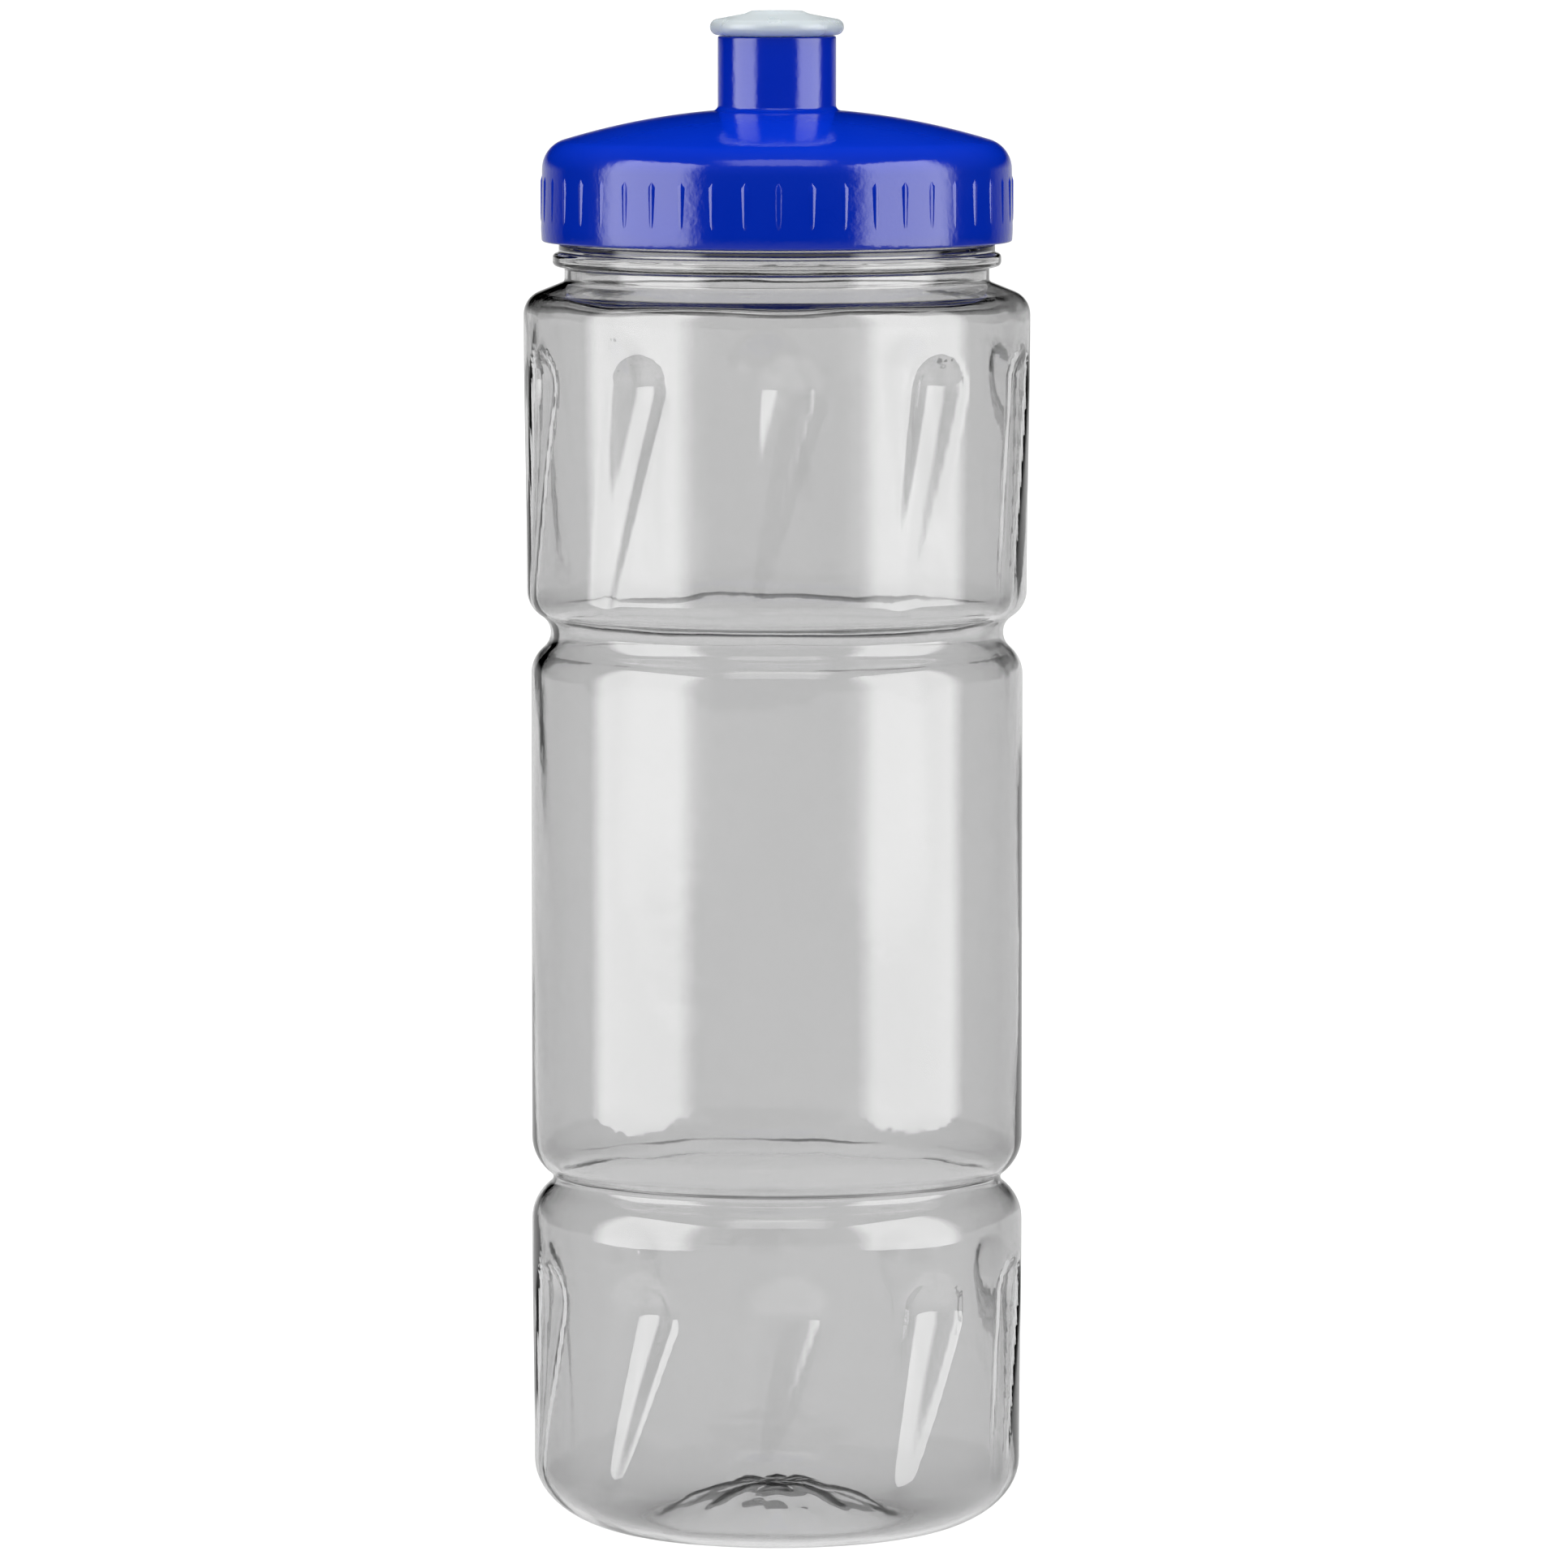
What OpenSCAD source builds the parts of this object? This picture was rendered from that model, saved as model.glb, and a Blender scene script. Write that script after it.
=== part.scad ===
// Sports squeeze bottle: a blow-moulded clear bottle, a screw lid with a spout,
// a sealing gasket inside the lid, and a push-pull drinking tip on the spout.
// Millimetres. +Z is up, and the origin is the middle of the standing ring, on the table.

/* [Bottle body] */
// Diameter of the straight middle panel, which a bottle cage holds
body_d = 72.8; // [60:0.1:90]
// Height of the straight middle panel
panel_h = 68.8; // [40:0.1:120]
// Height of the foot section's upper edge above the table
foot_h = 46.3; // [40:0.1:70]
// Height of the fluted grip section
grip_h = 40.9; // [38:0.1:70]
// Wall thickness of the bottle body
body_wall = 0.8; // [0.5:0.1:1.6]
// How far the grip section's upper edge stands out from the panel
grip_swell_top = 1.05; // [0:0.05:3]
// How far the grip section's lower edge stands out from the panel
grip_swell_bottom = 0.6; // [0:0.05:3]
// How far the foot's lower edge stands in from the panel
foot_draft = 0.3; // [0.05:0.05:1.5]

/* [Waist grooves] */
// Height of each waist groove, from edge to edge
groove_h = 12.4; // [9:0.1:18]
// Depth of the upper groove below the panel
upper_groove_depth = 2.9; // [1.5:0.1:4]
// Depth of the lower groove below the panel
lower_groove_depth = 3.15; // [1.5:0.05:4]
// Radius at the bottom of the upper groove
upper_groove_round = 3; // [1:0.1:4]
// Radius at the bottom of the lower groove
lower_groove_round = 1.2; // [1:0.1:4]

/* [Base] */
// Width of the rounded corner between the foot and the table
base_corner_w = 15.5; // [8:0.5:18]
// Height of that corner
base_corner_h = 10.4; // [6:0.1:14]
// Radius of the heel inside the standing ring
heel_round = 3.5; // [1:0.5:6]
// Width of the flat standing ring
stand_w = 1.6; // [1:0.1:4]
// Height of the pushed-up middle of the base
push_up = 6; // [3:0.5:10]
// Number of radial ribs in the base
base_ribs = 8; // [4:1:12]
// Radius of each base rib
base_rib_r = 1.5; // [0.8:0.1:2]

/* [Flutes] */
// Number of slanted flutes round each fluted section
flute_count = 10; // [6:1:12]
// How far a flute's top leans round the bottle from its foot, in degrees
flute_lean = 11.5; // [0:0.5:20]
// Angle of the first flute, measured from the front
flute_phase = -1; // [-18:0.5:18]
// Width of a grip flute at its round upper end
grip_flute_w = 9; // [5:0.5:11]
// Depth of a grip flute at its upper end
grip_flute_depth = 2; // [1:0.1:3]
// Width of a foot flute at its round upper end
foot_flute_w = 10.5; // [5:0.5:12]
// Depth of a foot flute at its upper end
foot_flute_depth = 2.4; // [1:0.1:3]
// Width of every flute at its narrow lower end
flute_tip_w = 2; // [1:0.5:4]
// Plain wall left above a flute
flute_top_land = 5.5; // [3:0.5:10]
// Plain wall left below a flute
flute_foot_land = 0.5; // [0:0.5:5]

/* [Neck] */
// Outer diameter of the neck
neck_d = 62.8; // [50:0.1:66]
// Wall thickness of the neck
neck_wall = 1.5; // [1:0.1:2.5]
// Height of the neck above the shoulder
neck_h = 16.1; // [14:0.1:24]
// Radius of the corner between the grip section and the shoulder
shoulder_round = 3.5; // [2:0.1:6]
// Slope of the shoulder, in degrees
shoulder_slope = 22; // [10:1:45]
// Radius of the fillet between the shoulder and the neck
neck_fillet = 0.6; // [0.4:0.1:2]
// How far the bead stands out from the neck
bead_out = 1.75; // [0.8:0.05:3]
// Height of the bead
bead_h = 2.2; // [1.5:0.1:3]
// Gap between the neck fillet and the bead
bead_gap = 1.7; // [1:0.1:4]
// How far the collar above the bead stands out from the neck
collar_out = 0.85; // [0.2:0.05:1.1]
// Height of the collar above the bead
collar_h = 1.3; // [0.5:0.1:2]

/* [Thread] */
// Rise of the thread in one turn
thread_pitch = 4.8; // [4:0.1:6]
// How far the neck thread stands out from the neck
thread_out = 1.2; // [0.8:0.1:1.5]
// Width of either thread at its root
thread_root_w = 2.2; // [1.4:0.1:2.6]
// Width of either thread at its crest
thread_crest_w = 1; // [0.6:0.1:1.4]
// Number of segments that the neck thread is broken into by its vent slots
neck_thread_segments = 6; // [4:1:7]
// Angle of each neck thread segment, in degrees
neck_segment_span = 80; // [60:1:85]
// Number of segments in the lid thread
lid_thread_segments = 5; // [3:1:6]
// Angle of each lid thread segment, in degrees
lid_segment_span = 70; // [50:1:85]
// Gap between a thread's crest and the wall that it faces
thread_clearance = 0.4; // [0.3:0.05:0.8]
// Gap below the neck's rim before the neck thread starts
thread_rim_gap = 2.2; // [1.5:0.1:3]

/* [Lid] */
// Wall thickness of the lid's skirt at its top
skirt_wall = 1.35; // [0.9:0.05:2.5]
// Gap between the neck thread's crest and the lid's skirt
skirt_clearance = 0.75; // [0.4:0.05:1.5]
// Reach of the skirt below the gasket's seat
skirt_h = 12; // [10:0.1:13]
// How much wider the skirt is at its lower edge than at its top, on the radius
skirt_draft = 0.15; // [0:0.05:1]
// Rise of the crown above the gasket's seat
crown_h = 7.7; // [6.5:0.1:12]
// Radius of the crown's dome
crown_r = 108; // [80:1:200]
// Radius of the corner between the crown and the skirt
crown_corner = 4.5; // [2:0.1:5]
// Thickness of the crown
crown_wall = 1.35; // [1:0.05:2.5]
// Number of grip ribs round the skirt
rib_count = 45; // [12:1:60]
// Radius of each grip rib
rib_r = 0.6; // [0.4:0.05:1]
// How far each grip rib stands out from the skirt
rib_out = 0.3; // [0.1:0.05:0.5]
// Height of each grip rib
rib_h = 8; // [4:0.5:8]
// Plain band below the grip ribs
rib_band = 1.8; // [1:0.1:3]

/* [Gasket] */
// Thickness of the gasket
gasket_t = 1.2; // [0.6:0.1:2]
// Width of the gasket's ring
gasket_w = 4; // [2.5:0.1:4.5]
// Gap on each face of the gasket before the lid is pulled tight
gasket_gap = 0.1; // [0.05:0.05:0.3]

/* [Spout] */
// Outer diameter of the spout
spout_d = 17.5; // [16:0.1:24]
// Height of the spout's rim above the top of the crown
spout_h = 10.6; // [8:0.1:20]
// Wall thickness of the spout
spout_wall = 1.25; // [0.8:0.05:2]
// How far the spout's lip stands into the bore
lip_in = 0.35; // [0.2:0.05:0.6]
// Height of the spout's lip
lip_h = 1.8; // [1:0.1:3]
// Reach of the spout's bore below the crown
collar_drop = 4.2; // [3.5:0.1:6]
// Radius of the fillet round the foot of the spout
spout_fillet = 0.8; // [0.3:0.1:2]
// Diameter of the post that plugs the drinking hole
post_d = 4.4; // [3:0.1:6]
// Number of struts that carry the post
strut_count = 3; // [3:1:5]
// Width of each strut
strut_w = 1.6; // [1:0.1:2.5]
// Height of each strut
strut_h = 1.8; // [1:0.1:2.5]

/* [Drinking tip] */
// How far the tip's flange stands out from the spout
flange_out = 1.15; // [0.6:0.05:4]
// Thickness of the flange's round rim
flange_t = 2.4; // [1.6:0.1:4]
// Rise of the raised middle above the flange's rim
tip_rise = 1.2; // [0.5:0.1:3]
// Diameter of the raised middle
tip_land_d = 7.4; // [6.6:0.1:10]
// Gap between the flange and the spout's rim when the tip is pushed shut
tip_gap = 0.1; // [0.05:0.05:0.5]
// Gap between the stem and the spout's lip
stem_clearance = 0.2; // [0.1:0.05:0.4]
// Gap between the stem's foot bead and the spout's bore
bead_clearance = 0.15; // [0.1:0.05:0.3]
// Wall thickness of the stem
stem_wall = 1.35; // [0.8:0.05:2]
// Height of the bead that stops the stem from pulling out
stem_bead_h = 2; // [1:0.1:3]
// Gap round the post in the drinking hole
hole_clearance = 0.15; // [0.1:0.05:0.3]
// Thickness of the tip's roof
tip_roof = 1.8; // [1:0.1:3]
// How far the tip pulls up
tip_travel = 8; // [4:0.1:8]

/* [Hidden] */
$fn = 96;

ARC_STEPS = 6;         // straight steps in each rounded corner of an outline
WALL_STEPS = 8;        // straight steps in each fluted wall
SEGMENT_TURN = 90;     // degrees from one thread segment to the next
EMBED = 0.4;           // depth that an added feature is rooted in its wall
OVERCUT = 1;           // reach of a cut past the face that it opens

// Radii of the body
panel_r = body_d / 2;
grip_top_r = panel_r + grip_swell_top;
grip_bottom_r = panel_r + grip_swell_bottom;
foot_bottom_r = panel_r - foot_draft;
stand_outer_r = foot_bottom_r - base_corner_w;
stand_inner_r = stand_outer_r - stand_w;

// The base ribs start and end at these shares of the pushed-up middle's radius
base_rib_start = 0.3;
base_rib_end = 0.8;

// Heights of the body, from the table up
panel_z = foot_h + groove_h;
panel_top_z = panel_z + panel_h;
grip_z = panel_top_z + groove_h;
grip_top_z = grip_z + grip_h;

// The shoulder runs from the corner's end, up its slope, to the neck's fillet
neck_r = neck_d / 2;
shoulder_turn = 90 - shoulder_slope;
shoulder_corner_r = grip_top_r - shoulder_round * (1 - cos(shoulder_turn));
fillet_foot_r = neck_r + neck_fillet * (1 - cos(shoulder_turn));
shoulder_rise = (shoulder_round + neck_fillet) * sin(shoulder_turn)
    + (shoulder_corner_r - fillet_foot_r) * tan(shoulder_slope);
neck_z = grip_top_z + shoulder_rise;
rim_z = neck_z + neck_h;
bore_r = neck_r - neck_wall;
bead_z = neck_z + bead_gap;
collar_z = bead_z + bead_h;

// The threads: the lid's runs half a pitch above the neck's, so they interleave
thread_crest_r = neck_r + thread_out;
thread_z = rim_z - thread_rim_gap - thread_pitch * neck_thread_segments * SEGMENT_TURN / 360;
lid_thread_z = thread_z + thread_pitch / 2;
lid_thread_start = -90;    // the lid's first segment lies this many degrees before the neck's
skirt_inner_r = thread_crest_r + skirt_clearance;
lid_thread_crest_r = neck_r + thread_clearance;

// The lid
seat_z = rim_z + gasket_t + 2 * gasket_gap;
skirt_z = seat_z - skirt_h;
skirt_top_r = skirt_inner_r + skirt_wall;
skirt_bottom_r = skirt_top_r + skirt_draft;
crown_top_z = seat_z + crown_h;
crown_centre_z = crown_top_z - crown_r;
corner_centre_r = skirt_top_r - crown_corner;
corner_centre_z = crown_centre_z + sqrt(pow(crown_r - crown_corner, 2) - pow(corner_centre_r, 2));
corner_turn = atan2(corner_centre_z - crown_centre_z, corner_centre_r);
edge_break = 0.2;          // the skirt's lower edge turns in by this much
edge_break_h = 0.9;        // height over which it does so

// The gasket lies on the neck's rim, under its seat in the lid
gasket_outer_r = skirt_inner_r - thread_clearance;
gasket_inner_r = gasket_outer_r - gasket_w;
seat_inner_r = gasket_inner_r - gasket_gap;

// The spout and its post
spout_r = spout_d / 2;
spout_bore_r = spout_r - spout_wall;
lip_r = spout_bore_r - lip_in;
spout_top_z = crown_top_z + spout_h;
lip_z = spout_top_z - lip_h;
spout_foot_z = crown_centre_z + sqrt(pow(crown_r, 2) - pow(spout_r, 2));
collar_bottom_z = crown_top_z - collar_drop;
post_r = post_d / 2;

// The drinking tip, pushed shut
flange_z = spout_top_z + tip_gap;
flange_round = flange_t / 2;
flange_edge_r = spout_r + flange_out - flange_round;
tip_top_z = flange_z + flange_t + tip_rise;
tip_land_r = tip_land_d / 2;
tip_edge_break = 0.3;
stem_r = lip_r - stem_clearance;
stem_bore_r = stem_r - stem_wall;
stem_bead_r = spout_bore_r - bead_clearance;
stem_stop_gap = 0.3;       // play left under the lip when the tip is pulled right up
stem_bead_top_z = lip_z - tip_travel - stem_stop_gap;
stem_z = stem_bead_top_z - stem_bead_h;
hole_r = post_r + hole_clearance;
post_recess = 0.5;         // the post ends this far below the drinking hole's rim
post_top_z = tip_top_z - post_recess;

// Points along a quarter of an ellipse, w wide and h high, from its foot out to its side.
// inset moves each point square to the curve, into the wall.
function oval_corner(centre, w, h, inset) =
    [for (i = [0:2 * ARC_STEPS])
        let (a = -90 + 90 * i / (2 * ARC_STEPS),
             outward = [h * cos(a), w * sin(a)])
        centre + [w * cos(a), h * sin(a)] - inset * outward / norm(outward)];

// Points along an arc about a centre
function arc(centre, radius, from, to, steps = ARC_STEPS) =
    [for (i = [0:steps])
        let (a = from + (to - from) * i / steps)
        centre + radius * [cos(a), sin(a)]];

// An S-bend between two parallel straight runs, rise along and step across, turns by this angle
function bend_turn(step, rise) = 2 * atan(step / rise);

// One waist groove, going up: a rounded edge, the valley, and the next rounded edge.
// inset moves the whole curve square to itself, into the wall.
function groove(low_r, low_z, high_r, high_z, valley_r, valley_round, inset) =
    let (half = (high_z - low_z) / 2,
         valley_centre = [valley_r + valley_round, low_z + half],
         low_turn = bend_turn(low_r - valley_r, half),
         high_turn = bend_turn(high_r - valley_r, half),
         low_round = half / sin(low_turn) - valley_round,
         high_round = half / sin(high_turn) - valley_round)
    concat(
        arc([low_r - low_round, low_z], low_round - inset, 0, low_turn),
        arc(valley_centre, valley_round + inset, 180 + low_turn, 180 - high_turn, 2 * ARC_STEPS),
        arc([high_r - high_round, high_z], high_round - inset, -high_turn, 0));

// The base, from its middle out to the foot's wall
function base_outline(inset) =
    let (turn = bend_turn(push_up, stand_inner_r),
         dome_r = stand_inner_r / sin(turn) - heel_round)
    concat(
        arc([0, push_up - dome_r], dome_r + inset, 90, 90 - turn),
        arc([stand_inner_r, heel_round], heel_round - inset, -90 - turn, -90),
        oval_corner([stand_outer_r, base_corner_h], base_corner_w, base_corner_h, inset));

// The shoulder, from the grip section's upper edge to the foot of the neck
function shoulder_outline(inset) = concat(
    arc([grip_top_r - shoulder_round, grip_top_z], shoulder_round - inset, 0, shoulder_turn),
    arc([neck_r + neck_fillet, neck_z], neck_fillet + inset, 180 + shoulder_turn, 180));

// A fluted wall, going up between two points, with its swell eased in like a shallow S
function wall(low_r, low_z, high_r, high_z, inset) =
    [for (i = [1:WALL_STEPS - 1])
        let (t = i / WALL_STEPS)
        [low_r + (high_r - low_r) * (1 - cos(180 * t)) / 2 - inset, low_z + (high_z - low_z) * t]];

// The whole body below the neck, as a half outline; inset = 0 is the outside
function body_outline(inset) = concat(
    base_outline(inset),
    wall(foot_bottom_r, base_corner_h, panel_r, foot_h, inset),
    groove(panel_r, foot_h, panel_r, panel_z,
        panel_r - lower_groove_depth, lower_groove_round, inset),
    groove(panel_r, panel_top_z, grip_bottom_r, grip_z,
        panel_r - upper_groove_depth, upper_groove_round, inset),
    wall(grip_bottom_r, grip_z, grip_top_r, grip_top_z, inset),
    shoulder_outline(inset));

// A cutter for one flute: a slim cone with a round end at its wide top, lying along the wall.
// grow makes it fatter all round, so that the inner wall follows the outer one.
module flute_cutter(wall_r, low_z, high_z, top_w, tip_w, depth, grow) {
    round_r = (pow(top_w / 2, 2) + pow(depth, 2)) / (2 * depth);
    lift = round_r - depth;
    tip_r = norm([lift, tip_w / 2]);
    slant = atan(flute_lean * PI / 180 * wall_r / (high_z - low_z));
    length = (high_z - low_z) / cos(slant);
    translate([wall_r + lift, 0, (low_z + high_z) / 2])
        rotate([-slant, 0, 0])
            translate([0, 0, -length / 2])
                rotate_extrude()
                    polygon(concat([[0, -grow], [tip_r + grow, -grow]],
                        arc([0, length - top_w / 2], round_r + grow, 0, 90)));
}

// The flutes of both sections, as one cutter
module flutes(grow) {
    for (i = [0:flute_count - 1])
        rotate([0, 0, -90 + flute_phase + 360 / flute_count * i]) {
            flute_cutter((grip_top_r + grip_bottom_r) / 2, grip_z + flute_foot_land,
                grip_top_z - flute_top_land, grip_flute_w, flute_tip_w, grip_flute_depth, grow);
            flute_cutter((panel_r + foot_bottom_r) / 2, base_corner_h + flute_foot_land,
                foot_h - flute_top_land, foot_flute_w, flute_tip_w, foot_flute_depth, grow);
        }
}

// The round-ended ribs that stiffen the pushed-up base, as one cutter
module base_rib_cutters(grow) {
    reach = stand_inner_r - heel_round;
    rib_length = reach * (base_rib_end - base_rib_start);
    tilt = atan(push_up / stand_inner_r);
    for (i = [0:base_ribs - 1])
        rotate([0, 0, 360 / base_ribs * i])
            translate([reach * base_rib_start, 0, push_up - base_rib_r / 2])
                rotate([0, 90 + tilt, 0]) {
                    cylinder(h = rib_length, r = base_rib_r + grow);
                    sphere(r = base_rib_r + grow);
                    translate([0, 0, rib_length]) sphere(r = base_rib_r + grow);
                }
}

// A thread in segments, each a short arc tilted to the thread's lead.
// It stands out from its wall, or in when crest_r < root_r.
module thread(root_r, crest_r, start_z, start_turn, segments, span) {
    lead = atan(thread_pitch / (2 * PI * neck_r));
    for (i = [0:segments - 1]) {
        turn = start_turn + SEGMENT_TURN * (i + 0.5);
        translate([0, 0, start_z + thread_pitch * turn / 360])
            rotate([0, 0, turn])
                rotate([lead, 0, 0])
                    rotate([0, 0, -span / 2])
                        rotate_extrude(angle = span)
                            polygon([[root_r, -thread_root_w / 2], [crest_r, -thread_crest_w / 2],
                                [crest_r, thread_crest_w / 2], [root_r, thread_root_w / 2]]);
    }
}

// The ring of the neck between two heights, for the bead and the collar
module neck_ring(outer_r, low_z, height, edge) {
    rotate_extrude()
        polygon([[neck_r - EMBED, low_z], [outer_r - edge, low_z], [outer_r, low_z + edge],
            [outer_r, low_z + height - edge], [outer_r - edge, low_z + height],
            [neck_r - EMBED, low_z + height]]);
}

// The bottle: body, flutes, ribbed base, neck, bead, collar and thread
module bottle() {
    rim_break = 0.4;
    bead_edge = 0.5;
    collar_edge = 0.2;
    color([0.86, 0.9, 0.92, 0.35])
        difference() {
            union() {
                difference() {
                    rotate_extrude()
                        polygon(concat(body_outline(0), [[neck_r, rim_z - rim_break],
                            [neck_r - rim_break, rim_z], [0, rim_z]]));
                    flutes(0);
                    base_rib_cutters(0);
                }
                neck_ring(neck_r + bead_out, bead_z, bead_h, bead_edge);
                neck_ring(neck_r + collar_out, collar_z - EMBED, collar_h + EMBED, collar_edge);
                thread(neck_r - EMBED, thread_crest_r, thread_z, 0,
                    neck_thread_segments, neck_segment_span);
            }
            difference() {
                rotate_extrude()
                    polygon(concat(body_outline(body_wall), [[bore_r, neck_z + neck_fillet],
                        [bore_r, rim_z + OVERCUT], [0, rim_z + OVERCUT]]));
                flutes(body_wall);
                base_rib_cutters(body_wall);
            }
        }
}

// The gasket: a flat ring between the neck's rim and its seat in the lid
module lid_gasket() {
    color([0.93, 0.93, 0.9])
        translate([0, 0, rim_z + gasket_gap])
            difference() {
                cylinder(h = gasket_t, r = gasket_outer_r);
                translate([0, 0, -OVERCUT])
                    cylinder(h = gasket_t + 2 * OVERCUT, r = gasket_inner_r);
            }
}

// The lid's shell: skirt, rounded corner and domed crown, hollow from below
module lid_shell() {
    inner_dome_r = crown_r - crown_wall;
    difference() {
        rotate_extrude()
            polygon(concat(
                [[0, skirt_z], [skirt_bottom_r - edge_break, skirt_z],
                    [skirt_bottom_r, skirt_z + edge_break_h], [skirt_bottom_r, skirt_z + rib_band]],
                arc([corner_centre_r, corner_centre_z], crown_corner, 0, corner_turn),
                arc([0, crown_centre_z], crown_r, corner_turn, 90)));
        rotate_extrude()
            polygon(concat(
                [[0, skirt_z - OVERCUT], [skirt_inner_r, skirt_z - OVERCUT],
                    [skirt_inner_r, seat_z], [seat_inner_r, seat_z]],
                arc([0, crown_centre_z], inner_dome_r, acos(seat_inner_r / inner_dome_r), 90)));
    }
}

// The grip ribs: a ring sunk in the skirt, with a row of half-round ribs standing out of it
module grip_ribs() {
    root_r = skirt_top_r - EMBED;
    translate([0, 0, skirt_z + rib_band])
        linear_extrude(rib_h)
            difference() {
                union() {
                    circle(r = root_r);
                    for (i = [0:rib_count - 1])
                        rotate(-90 + 360 / rib_count * i)
                            translate([skirt_top_r + rib_out - rib_r, 0]) circle(r = rib_r);
                }
                circle(r = skirt_inner_r + EMBED);
            }
}

// The spout: a filleted tube through the crown, with a lip at its mouth
module spout_tube() {
    rotate_extrude()
        polygon(concat(
            [[0, collar_bottom_z], [spout_r, collar_bottom_z], [spout_r, spout_foot_z - EMBED],
                [spout_r + spout_fillet, spout_foot_z - EMBED]],
            arc([spout_r + spout_fillet, spout_foot_z + spout_fillet], spout_fillet, 270, 180),
            [[spout_r, spout_top_z], [0, spout_top_z]]));
}

// The bore of the spout, narrower at the lip
module spout_bore() {
    translate([0, 0, collar_bottom_z - OVERCUT])
        cylinder(h = lip_z - collar_bottom_z + OVERCUT, r = spout_bore_r);
    translate([0, 0, lip_z - OVERCUT])
        cylinder(h = lip_h + 2 * OVERCUT, r = lip_r);
}

// The post that plugs the drinking hole, on its struts across the bore
module post_and_struts() {
    post_nose = 0.6;
    translate([0, 0, collar_bottom_z])
        cylinder(h = post_top_z - post_nose - collar_bottom_z, r = post_r);
    translate([0, 0, post_top_z - post_nose])
        cylinder(h = post_nose, r1 = post_r, r2 = post_r - post_nose);
    for (i = [0:strut_count - 1])
        rotate([0, 0, 360 / strut_count * i])
            translate([0, -strut_w / 2, collar_bottom_z])
                cube([spout_bore_r + EMBED, strut_w, strut_h]);
}

// The lid: shell, grip ribs, inner thread, spout and post
module lid() {
    color([0.02, 0.13, 0.75]) {
        difference() {
            union() {
                lid_shell();
                grip_ribs();
                spout_tube();
                thread(skirt_inner_r + EMBED, lid_thread_crest_r, lid_thread_z,
                    lid_thread_start, lid_thread_segments, lid_segment_span);
            }
            spout_bore();
        }
        post_and_struts();
    }
}

// The drinking tip: a round-edged flange on a hollow stem, with a hole in its raised middle
module drinking_tip() {
    roof_z = tip_top_z - tip_roof;
    color([0.8, 0.87, 0.9, 0.85])
        rotate_extrude()
            polygon(concat(
                [[stem_bore_r, stem_z], [stem_bead_r - tip_edge_break, stem_z],
                    [stem_bead_r, stem_z + tip_edge_break],
                    [stem_bead_r, stem_bead_top_z - (stem_bead_r - stem_r)],
                    [stem_r, stem_bead_top_z], [stem_r, flange_z]],
                arc([flange_edge_r, flange_z + flange_round], flange_round, -90, 90, 2 * ARC_STEPS),
                [[tip_land_r, tip_top_z - tip_edge_break], [tip_land_r - 2 * tip_edge_break, tip_top_z],
                    [hole_r, tip_top_z], [hole_r, roof_z], [stem_bore_r, roof_z - tip_roof / 2]]));
}

bottle();
lid_gasket();
lid();
drinking_tip();
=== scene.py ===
"""Sports squeeze bottle: a clear fluted bottle, a ribbed screw lid, its gasket and a push-pull drinking tip.

Every size is in metres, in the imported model's own frame: +Z is up and the bottle stands on z = 0.
"""

import logging
import math
from dataclasses import dataclass, field
from enum import Enum

import bmesh
import bpy
import numpy as np
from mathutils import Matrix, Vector


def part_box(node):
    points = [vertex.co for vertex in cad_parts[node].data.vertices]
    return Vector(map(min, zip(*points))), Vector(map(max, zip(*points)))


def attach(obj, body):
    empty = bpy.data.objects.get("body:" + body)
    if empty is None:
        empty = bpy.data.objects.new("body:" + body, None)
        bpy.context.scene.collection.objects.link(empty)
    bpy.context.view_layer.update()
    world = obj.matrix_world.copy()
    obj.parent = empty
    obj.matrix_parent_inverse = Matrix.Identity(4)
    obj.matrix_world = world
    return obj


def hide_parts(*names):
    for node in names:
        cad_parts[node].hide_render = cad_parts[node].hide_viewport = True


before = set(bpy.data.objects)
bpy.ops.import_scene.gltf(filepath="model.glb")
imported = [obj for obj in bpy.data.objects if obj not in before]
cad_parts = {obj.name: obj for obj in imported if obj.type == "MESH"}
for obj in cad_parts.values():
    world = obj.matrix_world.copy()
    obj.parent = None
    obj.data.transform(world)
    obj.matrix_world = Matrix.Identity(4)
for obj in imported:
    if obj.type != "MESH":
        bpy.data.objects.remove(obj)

LOG = logging.getLogger("squeeze_bottle")
MM = 0.001
SHARP_ANGLE = math.radians(38)


class Body(Enum):
    """The bodies that the pieces ride on."""

    BOTTLE = "bottle"
    GASKET = "gasket"
    LID = "lid"
    TIP = "tip"


class Slot(Enum):
    """The material slots."""

    CLEAR_BODY = "clear_body"
    SEAL = "seal"
    LID_PLASTIC = "lid_plastic"
    SOFT_TIP = "soft_tip"


# ---------------------------------------------------------------- outlines and meshes


def arc(centre: tuple, radius: float, start: float, end: float, steps: int) -> list:
    """Points along an arc of an outline.

    Args:
        centre: the arc's centre, (radius, height).
        radius: the arc's radius.
        start: the first angle, in degrees from the outward direction.
        end: the last angle.
        steps: the number of straight steps.

    Returns:
        The points, both ends included.
    """
    turns = np.radians(np.linspace(start, end, steps + 1))
    return [(centre[0] + radius * math.cos(a), centre[1] + radius * math.sin(a)) for a in turns]


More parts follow.
